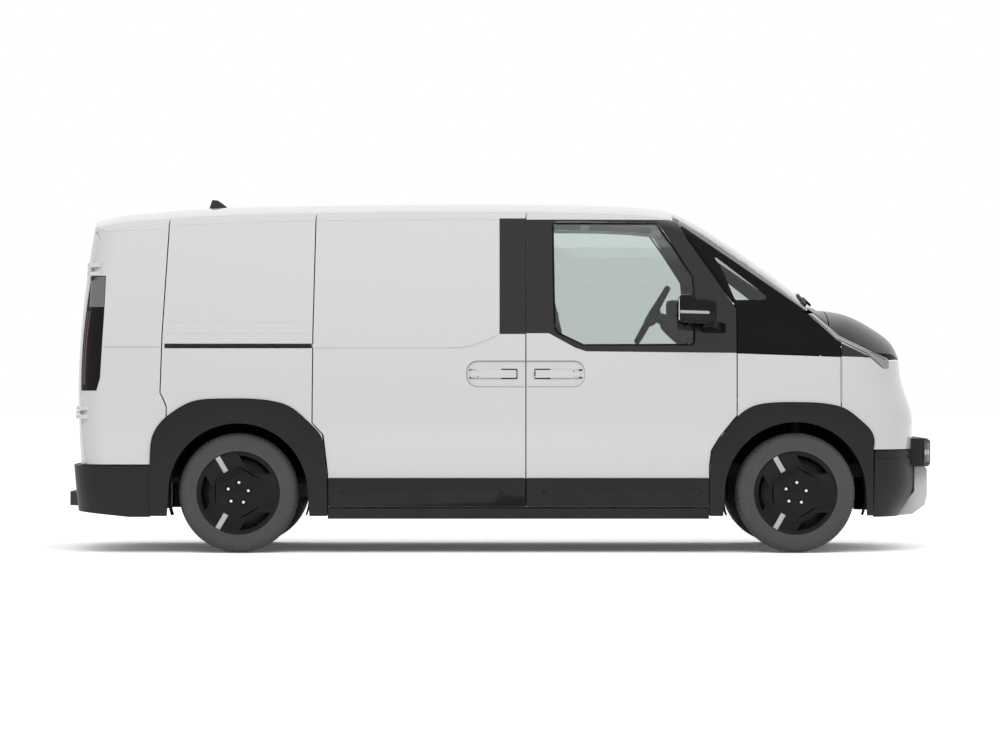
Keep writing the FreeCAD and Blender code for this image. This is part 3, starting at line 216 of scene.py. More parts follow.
def finish_material(name, colour, shade, roughness, texture, dust, coat=0.0, metallic=0.0,
                    uneven=0.06, shine=0.5):
    """A coated surface: colour mottled toward shade, dusted low down, with a fine bumped texture."""
    material, tree, surface = new_material(name, {"Metallic": metallic, "Specular IOR Level": shine,
                                                  "Coat Weight": coat, "Coat Roughness": 0.03})
    grain = shader_node(tree, "Group", {"node_tree": skin_texture},
                        dict(zip(("Scale", "Strength", "Depth"), texture)))
    film = shader_node(tree, "Group", {"node_tree": road_dust}, dict(zip(("Top", "Amount"), dust)))
    mottle = shader_node(tree, "Mix", {"data_type": 'RGBA'}, {"A": opaque(colour), "B": opaque(shade)},
                         {"Factor": grain.outputs["Mottle"]})
    dusted = shader_node(tree, "Mix", {"data_type": 'RGBA'}, {"B": opaque(dust_colour)},
                         {"A": mottle.outputs["Result"], "Factor": film.outputs["Mask"]})
    rough = shader_node(tree, "MapRange",
                        values={"To Min": max(roughness - uneven, 0.0), "To Max": roughness + uneven},
                        sources={"Value": grain.outputs["Mottle"]})
    feed(tree, surface, {"Base Color": dusted.outputs["Result"], "Roughness": rough.outputs["Result"],
                         "Normal": grain.outputs["Normal"]})
    return material


def both_sides(*names):
    return [name + side for name in names for side in ("left", "right")]


def dress(names, material, edge=0.0):
    """Gives CAD nodes their finish, and rounds their sharp edges by edge metres."""
    for name in names:
        node = nodes[name]
        node.data.materials.clear()
        node.data.materials.append(material)
        if edge:
            node.modifiers.new("weld", 'WELD').merge_threshold = 0.00002
            rounded(node, edge, 2, 50.0).use_clamp_overlap = False


def rounded(piece, width, segments=3, angle=30.0):
    """Rounds the edges of a piece, and gives the modifier that does it."""
    bevel = piece.modifiers.new("rounded", 'BEVEL')
    bevel.width = width
    bevel.segments = segments
    bevel.limit_method = 'ANGLE'
    bevel.angle_limit = math.radians(angle)
    return bevel


body_white = finish_material("body_white", (0.71, 0.725, 0.716), (0.69, 0.705, 0.697), 0.32,
                             (520.0, 0.05, 0.0001), (0.55, 0.10), coat=0.8)
dress(["roof_panel", "quarter_panels", "rear_corner_panels", "sliding_doors", "front_fenders", "front_panel",
       "rear_hinges"] + both_sides("front_door_", "rear_door_"), body_white)

# Gloss black panels: the window frames and the post bands are polished black plastic.
black_gloss = finish_material("black_gloss", (0.0045, 0.0045, 0.006), (0.007, 0.007, 0.009), 0.07,
                              (420.0, 0.03, 0.0001), (0.5, 0.03), uneven=0.02)
dress(["sliding_door_bands", "roof_antenna"] + both_sides("front_door_frame_"), black_gloss)

# Cladding: the arch trims, sills, door guards and bumpers are dark grey moulded plastic with a fine
# grain, clipped to the steel; the wheelhouse liners are black felted plastic behind them.
cladding = finish_material("cladding", (0.008, 0.0085, 0.0095), (0.012, 0.0125, 0.0135), 0.46,
                           (900.0, 0.35, 0.0004), (0.6, 0.05), shine=0.22)
dress(["wheel_arch_trims", "sill_trims", "sliding_door_trims", "front_bumper"]
      + both_sides("front_door_trim_"), cladding, 0.002)
dress(["rear_bumper", "door_rails"], cladding)
liner_black = finish_material("liner_black", (0.004, 0.004, 0.004), (0.008, 0.008, 0.008), 0.9,
                              (300.0, 0.6, 0.001), (0.5, 0.12), shine=0.1)
dress(["wheel_liners"], liner_black)
sharp_angle = math.radians(38.0)


def face_mesh(points, faces):
    """Mesh from points and faces, shaded smooth with sharp edges kept sharp."""
    mesh = bpy.data.meshes.new("mesh")
    mesh.from_pydata(points, [], faces)
    form = bmesh.new()
    form.from_mesh(mesh)
    bmesh.ops.recalc_face_normals(form, faces=form.faces)
    form.to_mesh(mesh)
    form.free()
    mesh.shade_smooth()
    mesh.set_sharp_from_angle(angle=sharp_angle)
    return mesh


def add_piece(name, mesh, body, finish, edge=0.0, place=(0.0, 0.0, 0.0)):
    """Makes a mesh one piece of the van, riding on a body, with its edges rounded by edge metres."""
    piece = in_scene(name, mesh)
    piece.location = place
    if not mesh.materials:
        mesh.materials.append(finish)
    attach(piece, body)
    if edge:
        rounded(piece, edge)
    return piece


def mirror_mesh(mesh):
    """The same mesh for the other side of the van."""
    twin = mesh.copy()
    twin.transform(Matrix.Scale(-1.0, 4, (0.0, 1.0, 0.0)))
    twin.flip_normals()
    return twin


def add_pair(name, mesh, bodies, finish, edge=0.0):
    """A piece on the right side, as built, and its mirror image on the left."""
    mesh.materials.append(finish)
    return [add_piece("%s_%s" % (name, side), shape, bodies.replace("*", side), finish, edge)
            for side, shape in (("right", mesh), ("left", mirror_mesh(mesh)))]


def surface_tree(*names):
    form = bmesh.new()
    for name in names:
        form.from_mesh(nodes[name].data)
    tree = BVHTree.FromBMesh(form)
    form.free()
    return tree


near_reach = 0.6


def cast(tree, point, way):
    """Where a line from point along way meets a surface, or else the surface's nearest point to that line."""
    hit = tree.ray_cast(Vector(point), Vector(way))[0]
    if hit is None:
        hit = tree.find_nearest(Vector(point) + Vector(way) * near_reach)[0]
    return hit


def along(line, share):
    """Point at a share of the way along a line of points, counted by its points."""
    place = share * (len(line) - 1)
    i = min(int(place), len(line) - 2)
    a, b = Vector(line[i]), Vector(line[i + 1])
    return a.lerp(b, place - i)


beside_van = 1.6
beyond_ends = 2.8


def laid_mesh(tree, low_line, high_line, columns, rows, lifts, back, side='y', sign=-1.0, start=beside_van):
    """Closed piece that lies on a surface: its rows run from low_line to high_line, each lifted by its own
    amount, with its back sunk by back. The lines are in side view, or in rear view when side is x."""
    points = []
    for layer in (0, 1):
        for j in range(rows + 1):
            lift = sign * (lifts[min(j, len(lifts) - 1)] if layer else -back)
            for i in range(columns + 1):
                p = along(low_line, i / columns).lerp(along(high_line, i / columns), j / rows)
                if side == 'y':
                    hit = cast(tree, (p.x, sign * start, p.y), (0.0, -sign, 0.0))
                    points.append((p.x, hit.y + lift, p.y))
                else:
                    hit = cast(tree, (sign * beyond_ends, p.x, p.y), (-sign, 0.0, 0.0))
                    points.append((hit.x + lift, p.x, p.y))
    wide = columns + 1
    half = wide * (rows + 1)
    corners = [layer * half + j * wide + i for layer in (0, 1) for j in range(rows) for i in range(columns)]
    faces = [(k, k + 1, k + wide + 1, k + wide) for k in corners]
    rim = [(0, i) for i in range(columns)] + [(j, columns) for j in range(rows)]
    rim += [(rows, i) for i in range(columns, 0, -1)] + [(j, 0) for j in range(rows, 0, -1)]
    loop = [j * wide + i for j, i in rim]
    faces += [(k, m, m + half, k + half) for k, m in zip(loop, loop[1:] + loop[:1])]
    return face_mesh(points, faces)


def laid_oblong(tree, near, far, low, high, columns, rows, lifts, back, side='x', **way):
    """A laid piece with level edges, between two places along the van or across it."""
    return laid_mesh(tree, [(near, low), (far, low)], [(near, high), (far, high)], columns, rows, lifts, back,
                     side, **way)


# The pressed ridge along the lower door trims: it stands out from the guard, lit on its upper slope and
# dark below, and runs to a point at each end.
ridge_lifts = (0.0005, 0.003, 0.006, 0.009, 0.0095, 0.005, 0.0005)
for name, trim, start, end, body in (("sliding_ridge", "sliding_door_trims", -0.86, 0.012, "body"),
                                     ("front_ridge", "front_door_trim_right", 0.225, 1.085, "front_door_*")):
    low_line = [(start, 0.330), (start + 0.05, 0.272), (end - 0.05, 0.272), (end, 0.330)]
    high_line = [(start, 0.332), (start + 0.05, 0.362), (end - 0.05, 0.362), (end, 0.332)]
    add_pair(name, laid_mesh(surface_tree(trim), low_line, high_line, 36, 6, ridge_lifts, 0.004), body,
             cladding)

# Silver trim: the skid plate and the strips along the windscreen are painted plastic, the plate light
# silver and the strips a deeper grey.
silver_trim = finish_material("silver_trim", (0.82, 0.82, 0.82), (0.87, 0.87, 0.87), 0.34,
                              (800.0, 0.10, 0.0002), (0.6, 0.10), shine=0.4)
dress(["skid_plate"], silver_trim)
strip_grey = finish_material("strip_grey", (0.20, 0.205, 0.215), (0.25, 0.255, 0.265), 0.30,
                             (700.0, 0.10, 0.0002), (0.6, 0.02), shine=0.3)
dress(["pillar_strips"], strip_grey)


def lofted_mesh(rings):
    """Closed form through rings of points that all have the same count."""
    count = len(rings[0])
    faces = []
    for k in range(0, (len(rings) - 1) * count, count):
        faces += [(k + j, k + (j + 1) % count, k + count + (j + 1) % count, k + count + j)
                  for j in range(count)]
    faces.append(tuple(range(count - 1, -1, -1)))
    last = (len(rings) - 1) * count
    faces.append(tuple(range(last, last + count)))
    return face_mesh([p for ring in rings for p in ring], faces)


def hoop_mesh(rings):
    """Closed hoop through rings of points, with the last ring joined to the first."""
    count = len(rings[0])
    faces = []
    for i in range(len(rings)):
        k, m = i * count, (i + 1) % len(rings) * count
        faces += [(k + j, m + j, m + (j + 1) % count, k + (j + 1) % count) for j in range(count)]
    return face_mesh([p for ring in rings for p in ring], faces)


def traced_line(tree, path, width, lift=0.0004, depth=0.0012, closed=False):
    """Narrow strip laid on a surface along a path of (x, z) points seen from the right side."""
    rings = []
    count = len(path)
    for n, point in enumerate(path):
        before = path[(n - 1) % count] if closed or n else point
        after = path[(n + 1) % count] if closed or n < count - 1 else point
        way = (Vector(after) - Vector(before)).normalized() * (width / 2.0)
        ring = []
        for hand, out in ((1.0, lift), (-1.0, lift), (-1.0, -depth), (1.0, -depth)):
            x, z = point[0] - way.y * hand, point[1] + way.x * hand
            hit = cast(tree, (x, -beside_van, z), (0.0, 1.0, 0.0))
            ring.append((x, hit.y - out, z))
        rings.append(ring)
    return hoop_mesh(rings) if closed else lofted_mesh(rings)


def spread(path, step=0.02):
    """The same path with points about every step."""
    points = []
    for start, end in zip(path, path[1:]):
        count = max(int((Vector(end) - Vector(start)).length / step), 1)
        points += [tuple(Vector(start).lerp(Vector(end), n / count)) for n in range(count)]
    return points + [path[-1]]


# The light strips beside the bonnet: a pale grey lens with a thin black line along each long edge.
lamp_white = finish_material("lamp_white", (0.42, 0.43, 0.44), (0.50, 0.51, 0.52), 0.12,
                             (60.0, 0.25, 0.0006), (0.6, 0.02), coat=0.7)
strip_lens = finish_material("strip_lens", (0.30, 0.305, 0.31), (0.38, 0.385, 0.39), 0.16,
                             (60.0, 0.25, 0.0006), (0.6, 0.02), shine=0.3)
dress(["light_strips"], strip_lens)
strip_tree = surface_tree("light_strips")
strip_upper = [(1.694, 1.276), (1.828, 1.163), (2.012, 1.075), (2.080, 1.041)]
strip_lower = [(1.672, 1.276), (1.817, 1.148), (1.974, 1.072), (2.062, 0.994)]
for number, share in enumerate((0.05, 0.95)):
    middle_path = [tuple(Vector(low).lerp(Vector(high), share))
                   for low, high in zip(strip_lower, strip_upper)]
    frame_line = traced_line(strip_tree, spread(middle_path, 0.012), 0.0035, 0.0010)
    add_pair("strip_frame_%d" % number, frame_line, "body", black_gloss)

# Pressed lines: the crease that runs from the tail lamp to the sliding door window band, and the filled
# joint between the front fender and the front panel. Both are thin grey strips laid on the white panels:
# painted shade where the crease and the joint would hold shade.
crease_grey = finish_material("crease_grey", (0.40, 0.41, 0.41), (0.44, 0.45, 0.45), 0.4,
                              (500.0, 0.05, 0.0001), (0.5, 0.05), shine=0.3)
crease_tree = surface_tree("rear_corner_panels", "sliding_doors")
crease_paths = ([(-2.128, 1.107), (-1.836, 1.107)],
                [(-0.995, 1.101), (-0.300, 1.101), (-0.215, 1.103), (-0.160, 1.112), (-0.083, 1.139),
                 (-0.012, 1.171)])
for number, path in enumerate(crease_paths):
    crease = traced_line(crease_tree, spread(path), 0.0032)
    add_pair("crease_%d" % number, crease, "body", crease_grey)
fender_tree = surface_tree("front_fenders", "front_panel")
# The fender joint strip is painted shade along the seam between the fender and the front panel.
joint_shade_line = traced_line(fender_tree, spread([(1.832, 1.052), (1.832, 0.806)]), 0.012, 0.0004, 0.004)
add_pair("fender_joint", joint_shade_line, "body", crease_grey)

# Corner of the front panel: the gloss black cover runs on past the fender joint in a point below the
# light strip. A black rubber seal is pressed round each door pane, and a lip closes the door's front seam.
corner_plate = laid_mesh(fender_tree, [(1.8345, 1.0565), (1.985, 1.0515)],
                         [(1.8345, 1.128), (1.900, 1.098), (1.990, 1.054)], 24, 8, (0.0009,), 0.002)
add_pair("corner_plate", corner_plate, "body", black_gloss)
pane_tree = surface_tree("front_door_frame_right", "front_door_glass_right")
pane_outline = [(0.281, 1.772), (0.838, 1.770), (0.938, 1.629), (1.033, 1.482), (1.040, 1.403),
                (1.040, 1.132), (1.030, 1.119), (0.446, 1.117), (0.312, 1.180), (0.290, 1.206)]
pane_seal = traced_line(pane_tree, spread(pane_outline + pane_outline[:1], 0.03)[:-1], 0.010, 0.0012,
                        0.003, closed=True)
add_pair("pane_seal", pane_seal, "front_door_*", liner_black)
lip_tree = surface_tree("front_door_frame_right", "pillar_covers")
door_lip = traced_line(lip_tree, spread([(0.968, 1.751), (1.252, 1.349)], 0.03), 0.015, 0.0012, 0.003)
add_pair("door_lip", door_lip, "front_door_*", liner_black)

# Door handles: fixed pull bars in a shared recess. Black strips laid on the door are painted shade in the gap
# round each bar's free end and in the finger pocket behind its other end, and a grey strip is painted shade
# along the fine rolled edge round the recess.
groove_grey = finish_material("groove_grey", (0.22, 0.22, 0.22), (0.26, 0.26, 0.26), 0.5,
                              (500.0, 0.05, 0.0001), (0.5, 0.05), shine=0.2)
handle_trees = {"sliding": surface_tree("sliding_doors"), "front": surface_tree("front_door_right")}
seam_x = 0.1359


def handle_side(door, path):
    """A path written for the sliding door's handle, or its mirror image in the seam for the front door's."""
    return path if door == "sliding" else [(2.0 * seam_x - x, z) for x, z in path]


def corner_arc(cx, cz, r, start, end, steps=6):
    return [(cx + r * math.cos(math.radians(start + (end - start) * n / steps)),
             cz + r * math.sin(math.radians(start + (end - start) * n / steps))) for n in range(steps + 1)]


for door, body in (("sliding", "body"), ("front", "front_door_*")):
    tree = handle_trees[door]
    gap = [(0.004, 0.9865), (0.030, 0.9865), (0.0875, 0.9865), (0.0875, 0.9375), (0.030, 0.9375),
           (0.004, 0.9375)]
    # Painted shade: black strips round the bar's free end and in the finger pockets.
    piece = traced_line(tree, handle_side(door, spread(gap, 0.006)), 0.0065, 0.0008, 0.004)
    add_pair("%s_bar_gap" % door, piece, body, liner_black)
    for number, (z, slope) in enumerate(((0.9835, -0.005), (0.9405, 0.005))):
        pocket_path = [(-0.168, z), (-0.150, z + slope * 0.3), (-0.118, z + slope)]
        pocket = traced_line(tree, handle_side(door, spread(pocket_path, 0.008)), 0.008, 0.0008, 0.004)
        add_pair("%s_pocket_%d" % (door, number), pocket, body, liner_black)
    edge_path = [(0.128, 1.032), (-0.123, 1.032)] + corner_arc(-0.122, 0.972, 0.060, 90.0, 180.0)[1:]
    edge_path += corner_arc(-0.122, 0.952, 0.060, 180.0, 270.0) + [(0.128, 0.892)]
    # Painted shade: a grey strip along the rolled edge round the recess.
    recess_edge_shade = traced_line(tree, handle_side(door, spread(edge_path, 0.015)), 0.0035, 0.0005, 0.002)
    add_pair("%s_recess_edge" % door, recess_edge_shade, body, groove_grey)

# Chassis and running gear: black-coated pressed steel and castings, with the motor in bare cast aluminium
# and the battery in a dark coat. The load space is painted grey, its floor and the cabin's are black.
chassis_black = finish_material("chassis_black", (0.012, 0.012, 0.013), (0.022, 0.022, 0.022), 0.6,
                                (260.0, 0.4, 0.0008), (0.8, 0.4), shine=0.3)
dress(["front_suspension", "rear_axle"] + both_sides("knuckle_"), chassis_black)
cast_alloy = finish_material("cast_alloy", (0.42, 0.43, 0.44), (0.52, 0.53, 0.54), 0.42,
                             (300.0, 0.4, 0.0006), (0.8, 0.4), metallic=1.0)
dress(["drive_motor"], cast_alloy)
pack_coat = finish_material("pack_coat", (0.03, 0.03, 0.032), (0.05, 0.05, 0.052), 0.5,
                            (300.0, 0.4, 0.0006), (0.8, 0.4), shine=0.3)
dress(["battery_pack"], pack_coat)
load_grey = finish_material("load_grey", (0.30, 0.31, 0.32), (0.34, 0.35, 0.36), 0.45,
                            (200.0, 0.15, 0.0004), (0.8, 0.2))
dress(["bulkhead", "body_frame"], load_grey)
floor_coat = finish_material("floor_coat", (0.018, 0.0185, 0.0195), (0.030, 0.031, 0.032), 0.55,
                             (260.0, 0.4, 0.0008), (0.8, 0.15), shine=0.2)
dress(["floor_platform"], floor_coat)
cabin_plastic = finish_material("cabin_plastic", (0.012, 0.0125, 0.0135), (0.018, 0.0185, 0.0195), 0.55,
                                (700.0, 0.3, 0.0004), (0.4, 0.0), shine=0.22)
dress(["dashboard", "seat_bases"], cabin_plastic)


# Tyres: black rubber with four grooves round the tread, cross cuts in the ribs, and fine rings
# moulded in the sidewalls, seated on the rims.
rubber = finish_material("rubber", (0.050, 0.050, 0.051), (0.076, 0.076, 0.077), 0.62,
                         (500.0, 0.3, 0.0004), (0.7, 0.10), shine=0.35)
axle_height = 0.322
track_half = 0.805
axle_places = {"front": 1.586, "rear": -1.410}
wheel_radius = 0.322
tread_depth = 0.0065
pitches = 70
side_line = ((0.2035, -0.0870), (0.2150, -0.0925), (0.2225, -0.0945), (0.2240, -0.0975), (0.2255, -0.0988),
             (0.2300, -0.0990), (0.2330, -0.0983), (0.2400, -0.0988), (0.2405, -0.0995), (0.2425, -0.0995),
             (0.2430, -0.0990), (0.2520, -0.1000), (0.2525, -0.1007), (0.2545, -0.1007), (0.2550, -0.1001),
             (0.2660, -0.1009), (0.2665, -0.1017), (0.2705, -0.1019), (0.2710, -0.1010), (0.2820, -0.1002),
             (0.2825, -0.1009), (0.2845, -0.1007), (0.2850, -0.0998), (0.2930, -0.0972), (0.3000, -0.0930))
shoulder_line = ((0.3065, -0.0870), (0.3120, -0.0800), (0.3155, -0.0730))
groove_centres = (-0.046, -0.016, 0.016, 0.046)
groove_half = 0.0042
rib_inset = 0.0012


def tread_crown(y):
    return wheel_radius - 0.0045 * (abs(y) / 0.068) ** 3


def tyre_rows():
    """Rows of the tyre from its outer bead to its inner one: radius, y, and depth of a cross cut."""
    rows = [(r, y, 0.0) for r, y in side_line]
    rows += [(r, y, cut) for (r, y), cut in zip(shoulder_line, (0.0012, 0.003, 0.0045))]
    edges = [-0.067]
    for centre in groove_centres:
        edges += [centre - groove_half, centre + groove_half]
    edges.append(0.067)
    for n in range(0, len(edges), 2):
        left, right = edges[n], edges[n + 1]
        cut = 0.005 if n in (0, 8) else (0.0 if n == 4 else 0.0035)
        near_inset = rib_inset * (n > 0)
        if n:
            rows.append((tread_crown(left) - tread_depth, left, 0.0))
        for share in (0.0, 0.5, 1.0):
            y = left + near_inset + (right - left - near_inset - rib_inset * (n < 8)) * share
            rows.append((tread_crown(y), y, cut))
        if n < 8:
            rows.append((tread_crown(right) - tread_depth, right, 0.0))
    rows += [(r, -y, cut) for (r, y), cut in zip(reversed(shoulder_line), (0.0045, 0.003, 0.0012))]
    rows += [(r, -y, 0.0) for r, y in reversed(side_line)]
    return rows


def tyre_mesh():
    rows = tyre_rows()
    rings = []
    for pitch in range(pitches):
        for n, step in enumerate((0.0, 0.09, 0.12, 0.55, 0.97)):
            ring = []
            for r, y, cut in rows:
                slant = 0.9 * min(abs(y), 0.085) * (1.0 if y > 0 else -1.0) if abs(y) > 0.02 else y * 0.9
                angle = (pitch + step) / pitches * math.tau + slant
                level = r - (cut if n < 2 else 0.0)
                ring.append((level * math.cos(angle), y, level * math.sin(angle)))
            rings.append(ring)
    return hoop_mesh(rings)


def on_wheels(parts):
    """Puts each (name, mesh, finish) on all four wheels, mirrored on the left side."""
    twins = [mirror_mesh(mesh) for name, mesh, finish in parts]
    pieces = []
    for end, x in axle_places.items():
        for side, y in (("left", track_half), ("right", -track_half)):
            corner = "%s_%s" % (end, side)
            for (name, mesh, finish), twin in zip(parts, twins):
                pieces.append(add_piece("%s_%s" % (name, corner), twin if side == "left" else mesh,
                                        "wheel_" + corner, finish, place=(x, y, axle_height)))
    return pieces


for piece in on_wheels([("treaded_tyre", tyre_mesh(), rubber)]):
    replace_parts(piece, piece.name.replace("treaded_", ""))


# Wheels: pressed steel rims under a gloss black cover with three broad spokes. Two spokes carry a silver
# bar, the hub shows five bright nuts in their wells, and a ground steel disc turns behind the openings.
wheel_black = finish_material("wheel_black", (0.003, 0.003, 0.0034), (0.005, 0.005, 0.0055), 0.24,
                              (500.0, 0.1, 0.0002), (0.6, 0.02), shine=0.16)
dress(both_sides("wheel_front_", "wheel_rear_"), wheel_black, 0.0015)
bar_silver = finish_material("bar_silver", (0.50, 0.51, 0.52), (0.57, 0.58, 0.59), 0.30,
                             (700.0, 0.1, 0.0002), (0.6, 0.04), shine=0.5)
bright_steel = finish_material("bright_steel", (0.62, 0.63, 0.64), (0.72, 0.73, 0.74), 0.25,
                               (400.0, 0.2, 0.0003), (0.6, 0.06), metallic=1.0)
disc_steel = finish_material("disc_steel", (0.30, 0.30, 0.31), (0.40, 0.40, 0.41), 0.34,
                             (240.0, 0.3, 0.0004), (0.6, 0.10), metallic=0.9)
cover_face = -0.1025
bar_half = 0.0135


def cover_level(r):
    """Depth of the cover's outer face at radius r, in the wheel's own frame."""
    if r < 0.150:
        return cover_face + 0.0092
    return cover_face + 0.009 - 0.007 * (r - 0.150) / 0.072


def turned_mesh(profile, segments):
    """Closed ring turned about the wheel's axis from (radius, y) points."""
    turns = [i / segments * math.tau for i in range(segments)]
    return hoop_mesh([[(r * math.cos(turn), y, r * math.sin(turn)) for r, y in profile] for turn in turns])


def moved(mesh, matrix):
    """A copy of a mesh in another place."""
    copy = mesh.copy()
    copy.transform(matrix)
    return copy


def joined(meshes):
    """One mesh made of several."""
    form = bmesh.new()
    for part in meshes:
        form.from_mesh(part)
    whole = bpy.data.meshes.new("mesh")
    form.to_mesh(whole)
    form.free()
    whole.shade_smooth()
    whole.set_sharp_from_angle(angle=sharp_angle)
    return whole


def spoke_bar(degrees):
    """Thin bar with chamfered edges, laid along the spoke at an angle."""
    angle = math.radians(degrees)
    rings = []
    stations = (0.131, 0.134, 0.150, 0.175, 0.200, 0.2185, 0.221)
    for n, r in enumerate(stations):
        top = 0.0 if n in (0, len(stations) - 1) else 0.0022
        section = ((-bar_half, -0.001), (-bar_half, top * 0.5), (-bar_half + 0.0015, top),
                   (bar_half - 0.0015, top), (bar_half, top * 0.5), (bar_half, -0.001))
        rings.append([(r * math.cos(angle) - side * math.sin(angle), cover_level(r) - lift,
                       r * math.sin(angle) + side * math.cos(angle)) for side, lift in section])
    return lofted_mesh(rings)


def dome_nut():
    """Six-sided nut with a domed end."""
    rings = []
    for r, y, sides in ((0.0095, 0.0, 6), (0.0095, -0.009, 6), (0.0082, -0.011, 12), (0.0078, -0.013, 12),
                        (0.0045, -0.0155, 12)):
        ring = []
        for n in range(12):
            turn = n / 12 * math.tau
            reach = r if n % 2 == 0 or sides == 12 else r * math.cos(math.pi / 6)
            ring.append((reach * math.cos(turn), y, reach * math.sin(turn)))
        rings.append(ring)
    return lofted_mesh(rings)


def five_of(mesh, depth):
    """Five copies on the bolt circle, at a depth."""
    places = []
    for n in range(5):
        turn = math.radians(first_bolt + 72.0 * n)
        places.append(Matrix.Translation((bolt_radius * math.cos(turn), depth, bolt_radius * math.sin(turn))))
    return joined([moved(mesh, place) for place in places])


bolt_radius = 0.057
first_bolt = 13.0
hub_face = cover_face - 0.005
nut_well = turned_mesh([(0.0135, -0.0002), (0.0150, -0.0022), (0.0162, -0.0022), (0.0175, -0.0002)], 24)
hub_cap = turned_mesh([(0.0, 0.0), (0.026, 0.0), (0.030, -0.0005), (0.030, -0.003), (0.028, -0.0042),
                       (0.0, -0.0046)], 48)
brake_face = turned_mesh([(0.072, -0.0305), (0.092, -0.0305), (0.094, -0.0318), (0.1405, -0.0318),
                          (0.1415, -0.0310), (0.1415, -0.0295), (0.072, -0.0295)], 96)
on_wheels([("spoke_bars", joined([spoke_bar(120.0), spoke_bar(240.0)]), bar_silver),
           ("wheel_nuts", five_of(dome_nut(), hub_face + 0.008), bright_steel),
           ("nut_wells", five_of(nut_well, hub_face), wheel_black),
           ("hub_cap", moved(hub_cap, Matrix.Translation((0.0, hub_face, 0.0))), wheel_black),
           ("brake_face", brake_face, disc_steel)])


# Bonnet and wiper panel: satin black steel, hinged at its rear on two goosenecks under the cowl.
bonnet_black = finish_material("bonnet_black", (0.008, 0.008, 0.009), (0.011, 0.011, 0.012), 0.20,
                               (420.0, 0.04, 0.0001), (0.5, 0.02), uneven=0.03, shine=0.06)
dress(["bonnet", "cowl", "pillar_covers"], bonnet_black)


# Door mirrors: gloss black housings on short arms at the foot of the door windows, each with a silvered
# glass in its rear pocket and a pale repeater strip across its outer face.
def slab_mesh(outline, low, high, across):
    """Plate with an outline, from low to high along one axis."""
    order = {'x': lambda a, b, c: (c, a, b), 'y': lambda a, b, c: (a, c, b),
             'z': lambda a, b, c: (a, b, c)}[across]
    return lofted_mesh([[order(a, b, level) for a, b in outline] for level in (low, high)])


mirror_outline = ((0.953, 1.250), (0.965, 1.238), (1.060, 1.230), (1.120, 1.228), (1.150, 1.246),
                  (1.156, 1.300), (1.150, 1.352), (1.100, 1.362), (1.050, 1.364), (1.020, 1.386),
                  (0.985, 1.390), (0.955, 1.380))
mirror_middle = (1.050, 1.305)


def mirror_ring(y, scale):
    cx, cz = mirror_middle
    return [(cx + (x - cx) * scale, y, cz + (z - cz) * scale) for x, z in mirror_outline]


housing = lofted_mesh([mirror_ring(y, scale) for y, scale in (
    (-0.950, 0.80), (-0.957, 0.93), (-0.975, 0.985), (-1.040, 1.0), (-1.095, 0.985), (-1.115, 0.93),
    (-1.123, 0.78))])
mirror_black = finish_material("mirror_black", (0.004, 0.004, 0.005), (0.006, 0.006, 0.007), 0.12,
                               (420.0, 0.03, 0.0001), (0.5, 0.0), uneven=0.02, shine=0.16)
for piece in add_pair("mirror_housing", housing, "front_door_*", mirror_black, 0.006):
    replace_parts(piece, piece.name.replace("mirror_housing", "door_mirror"))
arm_rings = [[(x, y, z) for x, z in ((rear, low), (front, low), (front, high), (rear + 0.02, high + 0.006))]
             for y, rear, front, low, high in (
                 (-0.915, 1.085, 1.212, 1.182, 1.232), (-0.945, 1.085, 1.195, 1.190, 1.236),
                 (-0.985, 1.080, 1.160, 1.205, 1.243), (-1.008, 1.080, 1.140, 1.215, 1.246))]
add_pair("mirror_arm", lofted_mesh(arm_rings), "front_door_*", mirror_black, 0.005)
mirror_silver = finish_material("mirror_silver", (0.80, 0.82, 0.83), (0.84, 0.86, 0.87), 0.02,
                                (20.0, 0.01, 0.0001), (0.4, 0.0), metallic=1.0, uneven=0.01)
mirror_glass = slab_mesh(((-1.108, 1.262), (-1.100, 1.252), (-0.975, 1.252), (-0.967, 1.262), (-0.967, 1.362),
                          (-0.975, 1.372), (-1.100, 1.366), (-1.108, 1.356)), 0.9515, 0.9545, 'x')
add_pair("mirror_glass", mirror_glass, "front_door_*", mirror_silver)
repeater = slab_mesh(((0.958, 1.286), (1.108, 1.282), (1.116, 1.288), (1.112, 1.297), (0.958, 1.302)),
                     -1.1245, -1.112, 'y')
add_pair("repeater", repeater, "front_door_*", lamp_white, 0.0015)


# Wipers: two black-painted steel arms with slim rubber blades, parked at the foot of the windscreen on
# spindles that stand in the cowl.
def tube_mesh(path, radius, sides=10, flat=1.0):
    """Tube along a path of points, its section squeezed by flat, with closed ends."""
    rings = []
    for n, point in enumerate(path):
        here = Vector(point)
        ahead = Vector(path[min(n + 1, len(path) - 1)]) - Vector(path[max(n - 1, 0)])
        ahead.normalize()
        across = ahead.cross(Vector((0.0, 0.0, 1.0)))
        if across.length < 0.1:
            across = ahead.cross(Vector((1.0, 0.0, 0.0)))
        across.normalize()
        up = across.cross(ahead)
        width = radius[n] if isinstance(radius, (list, tuple)) else radius
        rings.append([tuple(here + across * width * math.cos(t * math.tau / sides)
                            + up * width * flat * math.sin(t * math.tau / sides)) for t in range(sides)])
    return lofted_mesh(rings)


def screen_point(y, x, lift):
    hit = cast(screen_tree, (x, y, 2.2), (0.0, 0.0, -1.0))
    return (x - lift * 0.35, y, hit.z + lift)


